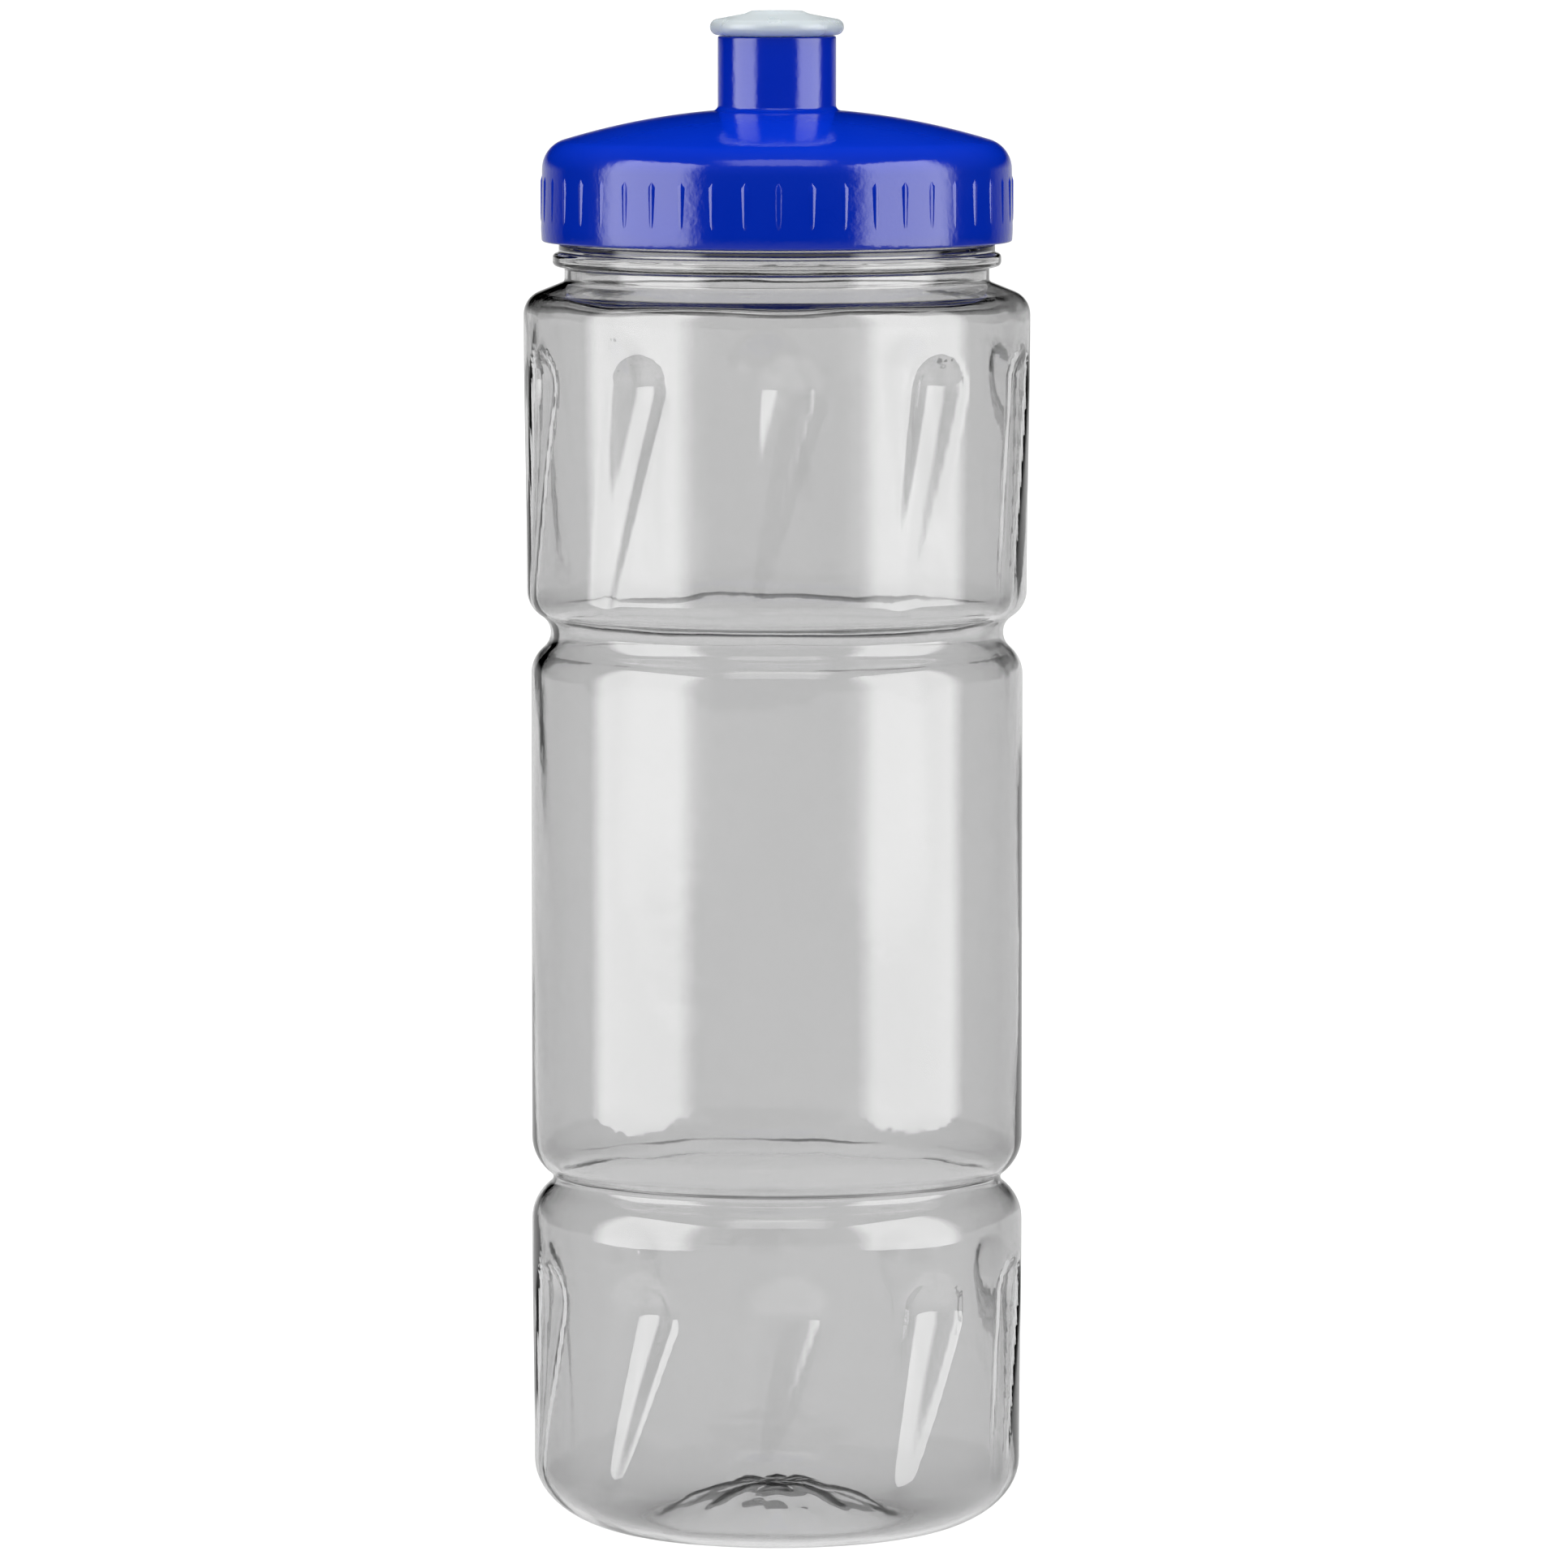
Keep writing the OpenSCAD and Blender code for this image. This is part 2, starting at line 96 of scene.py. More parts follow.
def rounded(corners: list, steps: int = 4) -> list:
    """Rounds the corners of an outline.

    Args:
        corners: (radius, height, rounding) for each corner; a rounding of 0 keeps it sharp.
        steps: the number of steps in each rounding.

    Returns:
        The outline's points, first and last corner kept as they are.
    """
    points = [corners[0][:2]]
    for before, here, after in zip(corners, corners[1:], corners[2:]):
        p0, p1, p2 = (np.array(c[:2], dtype=float) for c in (before, here, after))
        into, out = p1 - p0, p2 - p1
        into_length, out_length = np.linalg.norm(into), np.linalg.norm(out)
        into, out = into / into_length, out / out_length
        turn = math.acos(max(-1.0, min(1.0, float(into @ out))))
        if here[2] <= 0 or turn < 1e-3:
            points.append(tuple(p1))
            continue
        reach = min(here[2] * math.tan(turn / 2), 0.49 * into_length, 0.49 * out_length)
        radius = reach / math.tan(turn / 2)
        start = p1 - into * reach
        side = np.array([-into[1], into[0]])
        if side @ out < 0:
            side = -side
        centre = start + side * radius
        for i in range(steps + 1):
            a = turn * i / steps
            points.append(tuple(centre - side * radius * math.cos(a) + into * radius * math.sin(a)))
    points.append(corners[-1][:2])
    return points


def revolve(name: str, outline: list, segments: int, closed: bool) -> bpy.types.Mesh:
    """Turns an outline round the Z axis into a closed mesh.

    Args:
        name: the mesh's name.
        outline: (radius, height) points. An open outline starts and ends on the axis.
        segments: the number of steps round the axis.
        closed: True if the outline is a ring of its own that doesn't touch the axis.

    Returns:
        The mesh, smooth shaded, with its faces pointing outwards.
    """
    turns = np.linspace(0, 2 * math.pi, segments, endpoint=False)
    rows = outline if closed else outline[1:-1]
    verts = [(r * math.cos(a), r * math.sin(a), z) for r, z in rows for a in turns]
    faces = []
    last = len(rows) if closed else len(rows) - 1
    for i in range(last):
        low, high = i * segments, ((i + 1) % len(rows)) * segments
        for j in range(segments):
            k = (j + 1) % segments
            faces.append((low + j, low + k, high + k, high + j))
    if not closed:
        for row, point, flip in ((0, outline[0], True), (len(rows) - 1, outline[-1], False)):
            pole = len(verts)
            verts.append((0.0, 0.0, point[1]))
            for j in range(segments):
                a, b = row * segments + j, row * segments + (j + 1) % segments
                faces.append((pole, b, a) if flip else (pole, a, b))
    return finish_mesh(name, verts, faces)


def finish_mesh(name: str, verts: list, faces: list) -> bpy.types.Mesh:
    """Makes a smooth mesh whose faces point outwards.

    Args:
        name: the mesh's name.
        verts: its points.
        faces: its faces, as rows of point numbers.

    Returns:
        The mesh.
    """
    mesh = bpy.data.meshes.new(name)
    mesh.from_pydata(verts, [], faces)
    bm = bmesh.new()
    bm.from_mesh(mesh)
    bmesh.ops.remove_doubles(bm, verts=bm.verts, dist=1e-7)
    bmesh.ops.recalc_face_normals(bm, faces=bm.faces)
    bm.to_mesh(mesh)
    bm.free()
    shade(mesh)
    return mesh


def shade(mesh: bpy.types.Mesh) -> None:
    """Shades a mesh smooth, with its real corners kept sharp."""
    mesh.shade_smooth()
    mesh.set_sharp_from_angle(angle=SHARP_ANGLE)


def joined(name: str, meshes: list) -> bpy.types.Mesh:
    """Puts several meshes into one.

    Args:
        name: the new mesh's name.
        meshes: the meshes, which are removed.

    Returns:
        The joined mesh.
    """
    bm = bmesh.new()
    for mesh in meshes:
        bm.from_mesh(mesh)
    mesh = bpy.data.meshes.new(name)
    bm.to_mesh(mesh)
    bm.free()
    for old in meshes:
        bpy.data.meshes.remove(old)
    shade(mesh)
    return mesh


def placed(name: str, mesh: bpy.types.Mesh) -> bpy.types.Object:
    """Makes an object of a mesh, at the origin."""
    obj = bpy.data.objects.new(name, mesh)
    bpy.context.scene.collection.objects.link(obj)
    return obj


# ---------------------------------------------------------------- node helpers


def mapped(tree: bpy.types.NodeTree, value: bpy.types.NodeSocket, start: float, end: float,
           low: float = 0.0, high: float = 1.0) -> bpy.types.Node:
    """Adds a Map Range node, clamped.

    Args:
        tree: the node tree that it goes in.
        value: its input.
        start: the input that gives low.
        end: the input that gives high.
        low: the result at start.
        high: the result at end.

    Returns:
        The node.
    """
    made = tree.nodes.new("ShaderNodeMapRange")
    for name, number in (("From Min", start), ("From Max", end), ("To Min", low), ("To Max", high)):
        made.inputs[name].default_value = number
    tree.links.new(value, made.inputs["Value"])
    return made


def combined(tree: bpy.types.NodeTree, operation: str, *values: object) -> bpy.types.NodeSocket:
    """Adds one arithmetic step.

    Args:
        tree: the node tree that it goes in.
        operation: the Math node's operation.
        values: its inputs, numbers or sockets.

    Returns:
        The result's socket.
    """
    made = tree.nodes.new("ShaderNodeMath")
    made.operation = operation
    for i, value in enumerate(values):
        if isinstance(value, bpy.types.NodeSocket):
            tree.links.new(value, made.inputs[i])
        else:
            made.inputs[i].default_value = value
    return made.outputs[0]


# ---------------------------------------------------------------- geometry node trees


class RuleTree:
    """A Geometry Nodes tree that is written like a formula."""

    def __init__(self, name: str, sizes: list) -> None:
        """Starts a tree.

        Args:
            name: the tree's name.
            sizes: the names of its number inputs.
        """
        self.tree = bpy.data.node_groups.new(name, "GeometryNodeTree")
        face = self.tree.interface
        face.new_socket(name="Geometry", in_out="INPUT", socket_type="NodeSocketGeometry")
        for size in sizes:
            face.new_socket(name=size, in_out="INPUT", socket_type="NodeSocketFloat")
        face.new_socket(name="Material", in_out="INPUT", socket_type="NodeSocketMaterial")
        face.new_socket(name="Geometry", in_out="OUTPUT", socket_type="NodeSocketGeometry")
        self.entry = self.node("NodeGroupInput")
        self.exit = self.node("NodeGroupOutput")

    def node(self, kind: str, **settings: object) -> bpy.types.Node:
        """Adds a node and sets its properties."""
        made = self.tree.nodes.new(kind)
        for key, value in settings.items():
            setattr(made, key, value)
        return made

    def wire(self, value: object, socket: bpy.types.NodeSocket) -> None:
        """Feeds a socket from another socket, or sets it to a number."""
        if isinstance(value, bpy.types.NodeSocket):
            self.tree.links.new(value, socket)
        else:
            socket.default_value = value

    def size(self, name: str) -> bpy.types.NodeSocket:
        """Gives a named input."""
        return self.entry.outputs[name]

    def maths(self, operation: str, *values: object) -> bpy.types.NodeSocket:
        """Adds one arithmetic step."""
        return combined(self.tree, operation, *values)

    def radius(self, x: object, y: object) -> bpy.types.NodeSocket:
        """Gives the distance from the Z axis."""
        return self.maths("SQRT", self.maths("ADD", self.maths("POWER", x, 2.0),
                                             self.maths("POWER", y, 2.0)))

    def clamped(self, value: object) -> bpy.types.NodeSocket:
        """Keeps a number between 0 and 1."""
        return self.maths("MINIMUM", self.maths("MAXIMUM", value, 0.0), 1.0)

    def nearest_place(self, angle: object) -> bpy.types.NodeSocket:
        """Gives an angle from the nearest of the Count even places round the axis."""
        pitch = self.maths("DIVIDE", 2 * math.pi, self.size("Count"))
        half_pitch = self.maths("MULTIPLY", pitch, 0.5)
        return self.maths("WRAP", angle, half_pitch, self.maths("MULTIPLY", half_pitch, -1.0))

    def noise(self, place: bpy.types.NodeSocket, scale: str) -> bpy.types.NodeSocket:
        """Gives a seeded noise at a place, less its middle value."""
        made = self.node("ShaderNodeTexNoise", noise_dimensions="4D")
        self.wire(place, made.inputs["Vector"])
        self.wire(self.size("Seed"), made.inputs["W"])
        self.wire(self.size(scale), made.inputs["Scale"])
        made.inputs["Detail"].default_value = 1.0
        return self.maths("SUBTRACT", made.outputs[0], 0.5)

    def shifted(self, x: object, y: object, z: object) -> bpy.types.NodeTree:
        """Ends the tree by moving every point, then closes it."""
        move = self.node("GeometryNodeSetPosition")
        self.wire(self.size("Geometry"), move.inputs["Geometry"])
        self.wire(self.vector(x, y, z), move.inputs["Offset"])
        return self.close(move.outputs[0])

    def vector(self, x: object, y: object, z: object) -> bpy.types.NodeSocket:
        """Makes a vector of three numbers or sockets."""
        made = self.node("ShaderNodeCombineXYZ")
        for i, value in enumerate((x, y, z)):
            self.wire(value, made.inputs[i])
        return made.outputs[0]

    def position(self) -> tuple:
        """Gives the x, y and z of each point."""
        split = self.node("ShaderNodeSeparateXYZ")
        self.wire(self.node("GeometryNodeInputPosition").outputs[0], split.inputs[0])
        return tuple(split.outputs)

    def close(self, geometry: bpy.types.NodeSocket) -> bpy.types.NodeTree:
        """Ends the tree with Realize Instances and Set Material.

        Args:
            geometry: the finished geometry.

        Returns:
            The tree.
        """
        real = self.node("GeometryNodeRealizeInstances")
        dressed = self.node("GeometryNodeSetMaterial")
        self.wire(geometry, real.inputs["Geometry"])
        self.wire(real.outputs[0], dressed.inputs["Geometry"])
        self.wire(self.size("Material"), dressed.inputs["Material"])
        self.wire(dressed.outputs[0], self.exit.inputs[0])
        return self.tree


def flute_tree() -> bpy.types.NodeTree:
    """Builds the rule that presses slanted teardrop flutes into a round wall.

    Returns:
        The tree. Each flute is a slim cone with a round upper end, which lies along the wall.
    """
    rule = RuleTree("slanted_flutes", ["Count", "Lean", "Phase", "Low", "High", "Wall Radius",
                                       "Top Width", "Tip Width", "Depth", "Edge Blend"])
    m, size = rule.maths, rule.size
    x, y, z = rule.position()
    rise = m("SUBTRACT", size("High"), size("Low"))
    above = m("SUBTRACT", z, size("Low"))
    share = m("DIVIDE", above, rise)
    middle = m("ADD", size("Phase"), m("MULTIPLY", size("Lean"), m("SUBTRACT", share, 0.5)))
    turn = rule.nearest_place(m("SUBTRACT", m("ARCTAN2", y, x), middle))
    # distances across and along the flute's slanted axis
    slant = m("ARCTANGENT", m("DIVIDE", m("MULTIPLY", size("Lean"), size("Wall Radius")), rise))
    cosine, sine = m("COSINE", slant), m("SINE", slant)
    round_wall = m("MULTIPLY", turn, size("Wall Radius"))
    across = m("MULTIPLY", round_wall, cosine)
    along = m("ADD", m("DIVIDE", above, cosine), m("MULTIPLY", round_wall, sine))
    length = m("DIVIDE", rise, cosine)
    # the cone's radii, and how far its axis lies outside the wall
    half_top = m("MULTIPLY", size("Top Width"), 0.5)
    half_tip = m("MULTIPLY", size("Tip Width"), 0.5)
    top_r = m("DIVIDE", m("ADD", m("POWER", half_top, 2.0), m("POWER", size("Depth"), 2.0)),
              m("MULTIPLY", size("Depth"), 2.0))
    lift = m("SUBTRACT", top_r, size("Depth"))
    tip_r = m("SQRT", m("ADD", m("POWER", lift, 2.0), m("POWER", half_tip, 2.0)))
    shaft = m("SUBTRACT", length, half_top)
    along_share = rule.clamped(m("DIVIDE", along, shaft))
    here_r = m("ADD", tip_r, m("MULTIPLY", m("SUBTRACT", top_r, tip_r), along_share))
    past_end = m("ADD", m("MAXIMUM", m("SUBTRACT", along, shaft), 0.0),
                 m("MINIMUM", along, 0.0))
    reach = m("SUBTRACT", m("SUBTRACT", m("POWER", here_r, 2.0), m("POWER", across, 2.0)),
              m("POWER", past_end, 2.0))
    depth = m("SUBTRACT", m("SQRT", m("MAXIMUM", reach, 0.0)), lift)
    soft = m("SMOOTH_MAX", depth, 0.0, size("Edge Blend"))
    # press the wall in, square to the axis
    press = m("DIVIDE", m("MULTIPLY", soft, -1.0), m("MAXIMUM", rule.radius(x, y), MM))
    return rule.shifted(m("MULTIPLY", x, press), m("MULTIPLY", y, press), 0.0)


def petal_tree() -> bpy.types.NodeTree:
    """Builds the rule that presses uneven radial ribs up into the middle of the base.

    Returns:
        The tree.
    """
    rule = RuleTree("base_ribs", ["Count", "Inner Radius", "Outer Radius", "Width", "Rise",
                                  "Ceiling", "Lump Rise", "Lump Scale", "Lump Reach",
                                  "Seed"])
    m, size = rule.maths, rule.size
    x, y, z = rule.position()
    radius = rule.radius(x, y)
    across = m("MULTIPLY", m("SINE", rule.nearest_place(m("ARCTAN2", y, x))), radius)
    nearest = m("MINIMUM", m("MAXIMUM", radius, size("Inner Radius")), size("Outer Radius"))
    past_end = m("SUBTRACT", radius, nearest)
    away = m("DIVIDE", rule.radius(across, past_end), m("MULTIPLY", size("Width"), 0.5))
    swell = m("EXPONENT", m("MULTIPLY", m("POWER", away, 2.0), -1.0))
    below = m("LESS_THAN", z, size("Ceiling"))
    # soft lumps, which die out before the standing ring
    lumps = rule.noise(rule.vector(x, y, 0.0), "Lump Scale")
    reach = m("MULTIPLY", size("Outer Radius"), size("Lump Reach"))
    inwards = m("MAXIMUM", m("SUBTRACT", 1.0, m("POWER", m("DIVIDE", radius, reach), 4.0)), 0.0)
    lump = m("MULTIPLY", m("MULTIPLY", lumps, size("Lump Rise")), inwards)
    rise = m("MULTIPLY", m("ADD", m("MULTIPLY", swell, size("Rise")), lump), below)
    return rule.shifted(0.0, 0.0, rise)


def uneven_tree() -> bpy.types.NodeTree:
    """Builds the rule that makes a blown wall's inside uneven and leaves its outside alone.

    Returns:
        The tree.
    """
    rule = RuleTree("uneven_inside", ["Rise", "Scale", "Stretch", "Seed"])
    m, size = rule.maths, rule.size
    x, y, z = rule.position()
    normal = rule.node("ShaderNodeSeparateXYZ")
    rule.wire(rule.node("GeometryNodeInputNormal").outputs[0], normal.inputs[0])
    radius = m("MAXIMUM", rule.radius(x, y), MM)
    outwards = m("DIVIDE", m("ADD", m("MULTIPLY", normal.outputs[0], x),
                             m("MULTIPLY", normal.outputs[1], y)), radius)
    inside = rule.clamped(m("MULTIPLY", outwards, -1.0))
    noise = rule.noise(rule.vector(x, y, m("MULTIPLY", z, size("Stretch"))), "Scale")
    press = m("DIVIDE", m("MULTIPLY", m("MULTIPLY", noise, size("Rise")), inside), radius)
    return rule.shifted(m("MULTIPLY", x, press), m("MULTIPLY", y, press), 0.0)


def ring_tree() -> bpy.types.NodeTree:
    """Builds the rule that repeats one small shape round the Z axis.

    Returns:
        The tree. The shape is drawn at the origin with +X pointing away from the axis.
    """
    rule = RuleTree("ring_of_copies", ["Count", "Radius", "Height", "Phase"])
    circle = rule.node("GeometryNodeMeshCircle")
    rule.wire(rule.size("Count"), circle.inputs["Vertices"])
    rule.wire(rule.size("Radius"), circle.inputs["Radius"])
    place = rule.node("GeometryNodeTransform")
    rule.wire(circle.outputs[0], place.inputs["Geometry"])
    rule.wire(rule.vector(0.0, 0.0, rule.size("Height")), place.inputs["Translation"])
    rule.wire(rule.vector(0.0, 0.0, rule.size("Phase")), place.inputs["Rotation"])
    x, y, _ = rule.position()
    copies = rule.node("GeometryNodeInstanceOnPoints")
    rule.wire(place.outputs[0], copies.inputs["Points"])
    rule.wire(rule.size("Geometry"), copies.inputs["Instance"])
    rule.wire(rule.vector(0.0, 0.0, rule.maths("ARCTAN2", y, x)), copies.inputs["Rotation"])
    return rule.close(copies.outputs[0])


def grown(name: str, mesh: bpy.types.Mesh, material: bpy.types.Material, *rules: tuple) -> bpy.types.Mesh:
    """Runs a mesh through Geometry Nodes trees and gives the plain result.

    Args:
        name: the new mesh's name.
        mesh: the starting mesh.
        material: the finish that each tree sets.
        rules: (tree, {input name: value}) for each tree, in order.

    Returns:
        The plain mesh.
    """
    obj = placed(name, mesh)
    for tree, sizes in rules:
        modifier = obj.modifiers.new(tree.name, "NODES")
        modifier.node_group = tree
        for item in tree.interface.items_tree:
            if item.in_out == "INPUT" and item.name in sizes:
                modifier[item.identifier] = float(sizes[item.name])
            elif item.in_out == "INPUT" and item.name == "Material":
                modifier[item.identifier] = material
    graph = bpy.context.evaluated_depsgraph_get()
    graph.update()
    result = bpy.data.meshes.new_from_object(obj.evaluated_get(graph), depsgraph=graph)
    result.name = name
    obj.modifiers.clear()
    bpy.data.objects.remove(obj)
    shade(result)
    return result


# ---------------------------------------------------------------- finishes


class Paint:
    """A material's node tree, with short names for the nodes that every finish uses."""

    def __init__(self, name: str) -> None:
        """Starts a material with one Principled shader."""
        self.material = bpy.data.materials.new(name)
        self.material.use_nodes = True
        self.nodes = self.material.node_tree.nodes
        self.links = self.material.node_tree.links
        self.nodes.clear()
        self.output = self.nodes.new("ShaderNodeOutputMaterial")
        self.shader = self.nodes.new("ShaderNodeBsdfPrincipled")
        self.links.new(self.shader.outputs[0], self.output.inputs["Surface"])
        self.place = self.nodes.new("ShaderNodeTexCoord").outputs["Object"]

    def set(self, **values: object) -> None:
        """Sets plain values on the shader's own sockets; an underscore stands for a space."""
        for key, value in values.items():
            self.shader.inputs[key.replace("_", " ")].default_value = value

    def stretched(self, scale: tuple) -> bpy.types.NodeSocket:
        """Gives the object's coordinates with each axis scaled."""
        mapping = self.nodes.new("ShaderNodeMapping")
        mapping.inputs["Scale"].default_value = scale
        self.links.new(self.place, mapping.inputs["Vector"])
        return mapping.outputs[0]

    def noise(self, scale: float, detail: float = 2.0, along: tuple = (1, 1, 1)) -> bpy.types.NodeSocket:
        """Adds a noise pattern.

        Args:
            scale: its frequency, per metre.
            detail: its octaves.
            along: a stretch for each axis.

        Returns:
            The pattern's factor.
        """
        made = self.nodes.new("ShaderNodeTexNoise")
        made.inputs["Scale"].default_value = scale
        made.inputs["Detail"].default_value = detail
        self.links.new(self.stretched(along), made.inputs["Vector"])
        return made.outputs["Fac"]

    def ramp(self, value: bpy.types.NodeSocket, low: float, high: float, start: float = 0.0,
             end: float = 1.0) -> bpy.types.NodeSocket:
        """Maps a pattern from start..end to low..high, clamped."""
        return mapped(self.material.node_tree, value, start, end, low, high).outputs[0]

    def add(self, first: bpy.types.NodeSocket, second: object) -> bpy.types.NodeSocket:
        """Adds two patterns."""
        return self.maths("ADD", first, second)

    def maths(self, operation: str, *values: object) -> bpy.types.NodeSocket:
        """Adds one arithmetic step on patterns."""
        return combined(self.material.node_tree, operation, *values)

    def scratches(self, scale: float, angle: float, width: float, stretch: float) -> bpy.types.NodeSocket:
        """Adds fine straight scratches.

        Args:
            scale: how many lines there are, per metre.
            angle: how far they lean.
            width: their share of the pattern.
            stretch: how much longer than wide they are.

        Returns:
            1 on a scratch and 0 elsewhere.
        """
        mapping = self.nodes.new("ShaderNodeMapping")
        mapping.inputs["Rotation"].default_value = (angle, angle * 0.7, angle)
        mapping.inputs["Scale"].default_value = (1.0, 1.0, 1.0 / stretch)
        self.links.new(self.place, mapping.inputs["Vector"])
        made = self.nodes.new("ShaderNodeTexVoronoi")
        made.inputs["Scale"].default_value = scale
        self.links.new(mapping.outputs[0], made.inputs["Vector"])
        return self.ramp(made.outputs["Distance"], 1.0, 0.0, width * 0.4, width)

    def bump(self, height: bpy.types.NodeSocket, distance: float, strength: float = 1.0) -> None:
        """Puts a relief on the shader."""
        made = self.nodes.new("ShaderNodeBump")
        made.inputs["Distance"].default_value = distance
        made.inputs["Strength"].default_value = strength
        self.links.new(height, made.inputs["Height"])
        self.links.new(made.outputs[0], self.shader.inputs["Normal"])

    def feed(self, value: bpy.types.NodeSocket, socket: str) -> None:
        """Drives one of the shader's sockets with a pattern."""
        self.links.new(value, self.shader.inputs[socket])

    def tint(self, pattern: bpy.types.NodeSocket, low: tuple, high: tuple) -> None:
        """Varies the base colour between two colours."""
        made = self.nodes.new("ShaderNodeMix")
        made.data_type = "RGBA"
        made.inputs["A"].default_value = (*low, 1.0)
        made.inputs["B"].default_value = (*high, 1.0)
        self.links.new(pattern, made.inputs["Factor"])
        self.links.new(made.outputs["Result"], self.shader.inputs["Base Color"])


@dataclass(frozen=True)
class ClearPlastic:
    """Clear blow-moulded plastic: a faint grey cast, soft ripples from the mould and light handling marks."""

    index: float = 1.5
    surface_low: tuple = (0.675, 0.675, 0.675)
    surface_high: tuple = (0.725, 0.725, 0.725)
    absorbed: tuple = (0.50, 0.50, 0.50)
    density: float = 70.0
    ripple: float = 0.00022
    smooth: float = 0.01
    worn: float = 0.05

    def make(self) -> bpy.types.Material:
        """Builds the material."""
        paint = Paint("clear_body_plastic")
        paint.set(IOR=self.index, Transmission_Weight=1.0)
        ripples = paint.noise(38.0, 1.0, (1, 1, 0.45))
        fine = paint.noise(240.0, 2.0)
        paint.tint(ripples, self.surface_low, self.surface_high)
        marks = paint.scratches(420.0, 0.5, 0.03, 14.0)
        paint.feed(paint.add(paint.ramp(fine, self.smooth, self.worn, 0.35, 0.8),
                             paint.ramp(marks, 0.0, 0.12)), "Roughness")
        paint.bump(paint.add(ripples, paint.ramp(fine, 0.0, 0.06)), self.ripple)
        cast = paint.nodes.new("ShaderNodeVolumeAbsorption")
        cast.inputs["Color"].default_value = (*self.absorbed, 1.0)
        cast.inputs["Density"].default_value = self.density
        paint.links.new(cast.outputs[0], paint.output.inputs["Volume"])
        return paint.material


@dataclass(frozen=True)
class GlossyLidPlastic:
    """Deep blue injection-moulded plastic with a glossy skin, faint orange peel and hairline scratches."""

    deep: tuple = (0.0, 0.024, 0.50)
    light: tuple = (0.0, 0.032, 0.57)
    index: float = 1.49
    smooth: float = 0.09
    rough: float = 0.16
    peel: float = 0.00006

    def make(self) -> bpy.types.Material:
        """Builds the material."""
        paint = Paint("lid_gloss_plastic")
        paint.set(IOR=self.index, Specular_IOR_Level=0.5)
        cloud = paint.noise(55.0, 3.0)
        fine = paint.noise(900.0, 2.0)
        paint.tint(cloud, self.deep, self.light)
        marks = paint.maths("MAXIMUM", paint.scratches(260.0, 0.9, 0.022, 18.0),
                            paint.scratches(330.0, -0.6, 0.018, 24.0))
        paint.feed(paint.add(paint.ramp(cloud, self.smooth, self.rough, 0.3, 0.75),
                             paint.ramp(marks, 0.0, 0.22)), "Roughness")
        paint.bump(paint.add(paint.ramp(fine, 0.0, 0.5), paint.ramp(marks, 0.0, -0.8)), self.peel)
        return paint.material


@dataclass(frozen=True)
class FrostedTipPlastic:
    """Soft translucent plastic with a frosted bloom, paler where it is handled."""

    low: tuple = (0.82, 0.92, 0.96)
    high: tuple = (0.88, 0.96, 0.99)
    index: float = 1.50
    through: float = 0.35
    smooth: float = 0.22
    rough: float = 0.38

    def make(self) -> bpy.types.Material:
        """Builds the material."""
        paint = Paint("tip_frosted_plastic")
        paint.set(IOR=self.index, Transmission_Weight=self.through, Subsurface_Weight=0.35,
                  Subsurface_Scale=0.002, Subsurface_Radius=(1.0, 1.1, 1.2))
        cloud = paint.noise(160.0, 3.0)
        grain = paint.noise(1500.0, 2.0)
        paint.tint(cloud, self.low, self.high)
        paint.feed(paint.ramp(cloud, self.smooth, self.rough, 0.3, 0.7), "Roughness")
        paint.bump(grain, 0.00003)
        return paint.material


@dataclass(frozen=True)
class MatteSeal:
    """Off-white foamed seal with a fine matte grain."""

    low: tuple = (0.76, 0.76, 0.71)
    high: tuple = (0.86, 0.86, 0.82)
    smooth: float = 0.55
    rough: float = 0.75

    def make(self) -> bpy.types.Material:
        """Builds the material."""
        paint = Paint("seal_matte_foam")
        grain = paint.noise(2200.0, 3.0)
        cloud = paint.noise(90.0, 2.0)
        paint.tint(cloud, self.low, self.high)
        paint.feed(paint.ramp(grain, self.smooth, self.rough), "Roughness")
        paint.bump(grain, 0.00005)
        return paint.material


# ---------------------------------------------------------------- the bottle


@dataclass
class Thread:
    """A screw thread in segments, as a swelling of a round wall."""

    start_z: float
    first_turn: float
    segments: int
    span: float
    stand: float
    pitch: float = 4.8 * MM
    root_w: float = 2.2 * MM
    crest_w: float = 1.0 * MM
    run_out: float = 7.0

    def swell(self, turn: float, z: float) -> float:
        """How far the thread stands out from its wall.

        Args:
            turn: the angle round the axis, in degrees.
            z: the height.

        Returns:
            The stand-out at that place.
        """
        best = 0.0
        for i in range(self.segments):
            middle = self.first_turn + 90.0 * (i + 0.5)
            away = (turn - middle + 180.0) % 360.0 - 180.0
            beyond = self.span / 2 - abs(away)
            if beyond <= 0:
                continue
            ridge = self.start_z + self.pitch * (middle + away) / 360.0
            flank = (self.root_w / 2 - abs(z - ridge)) / ((self.root_w - self.crest_w) / 2)
            best = max(best, min(1.0, max(0.0, flank)) * min(1.0, beyond / self.run_out))
        return best * self.stand


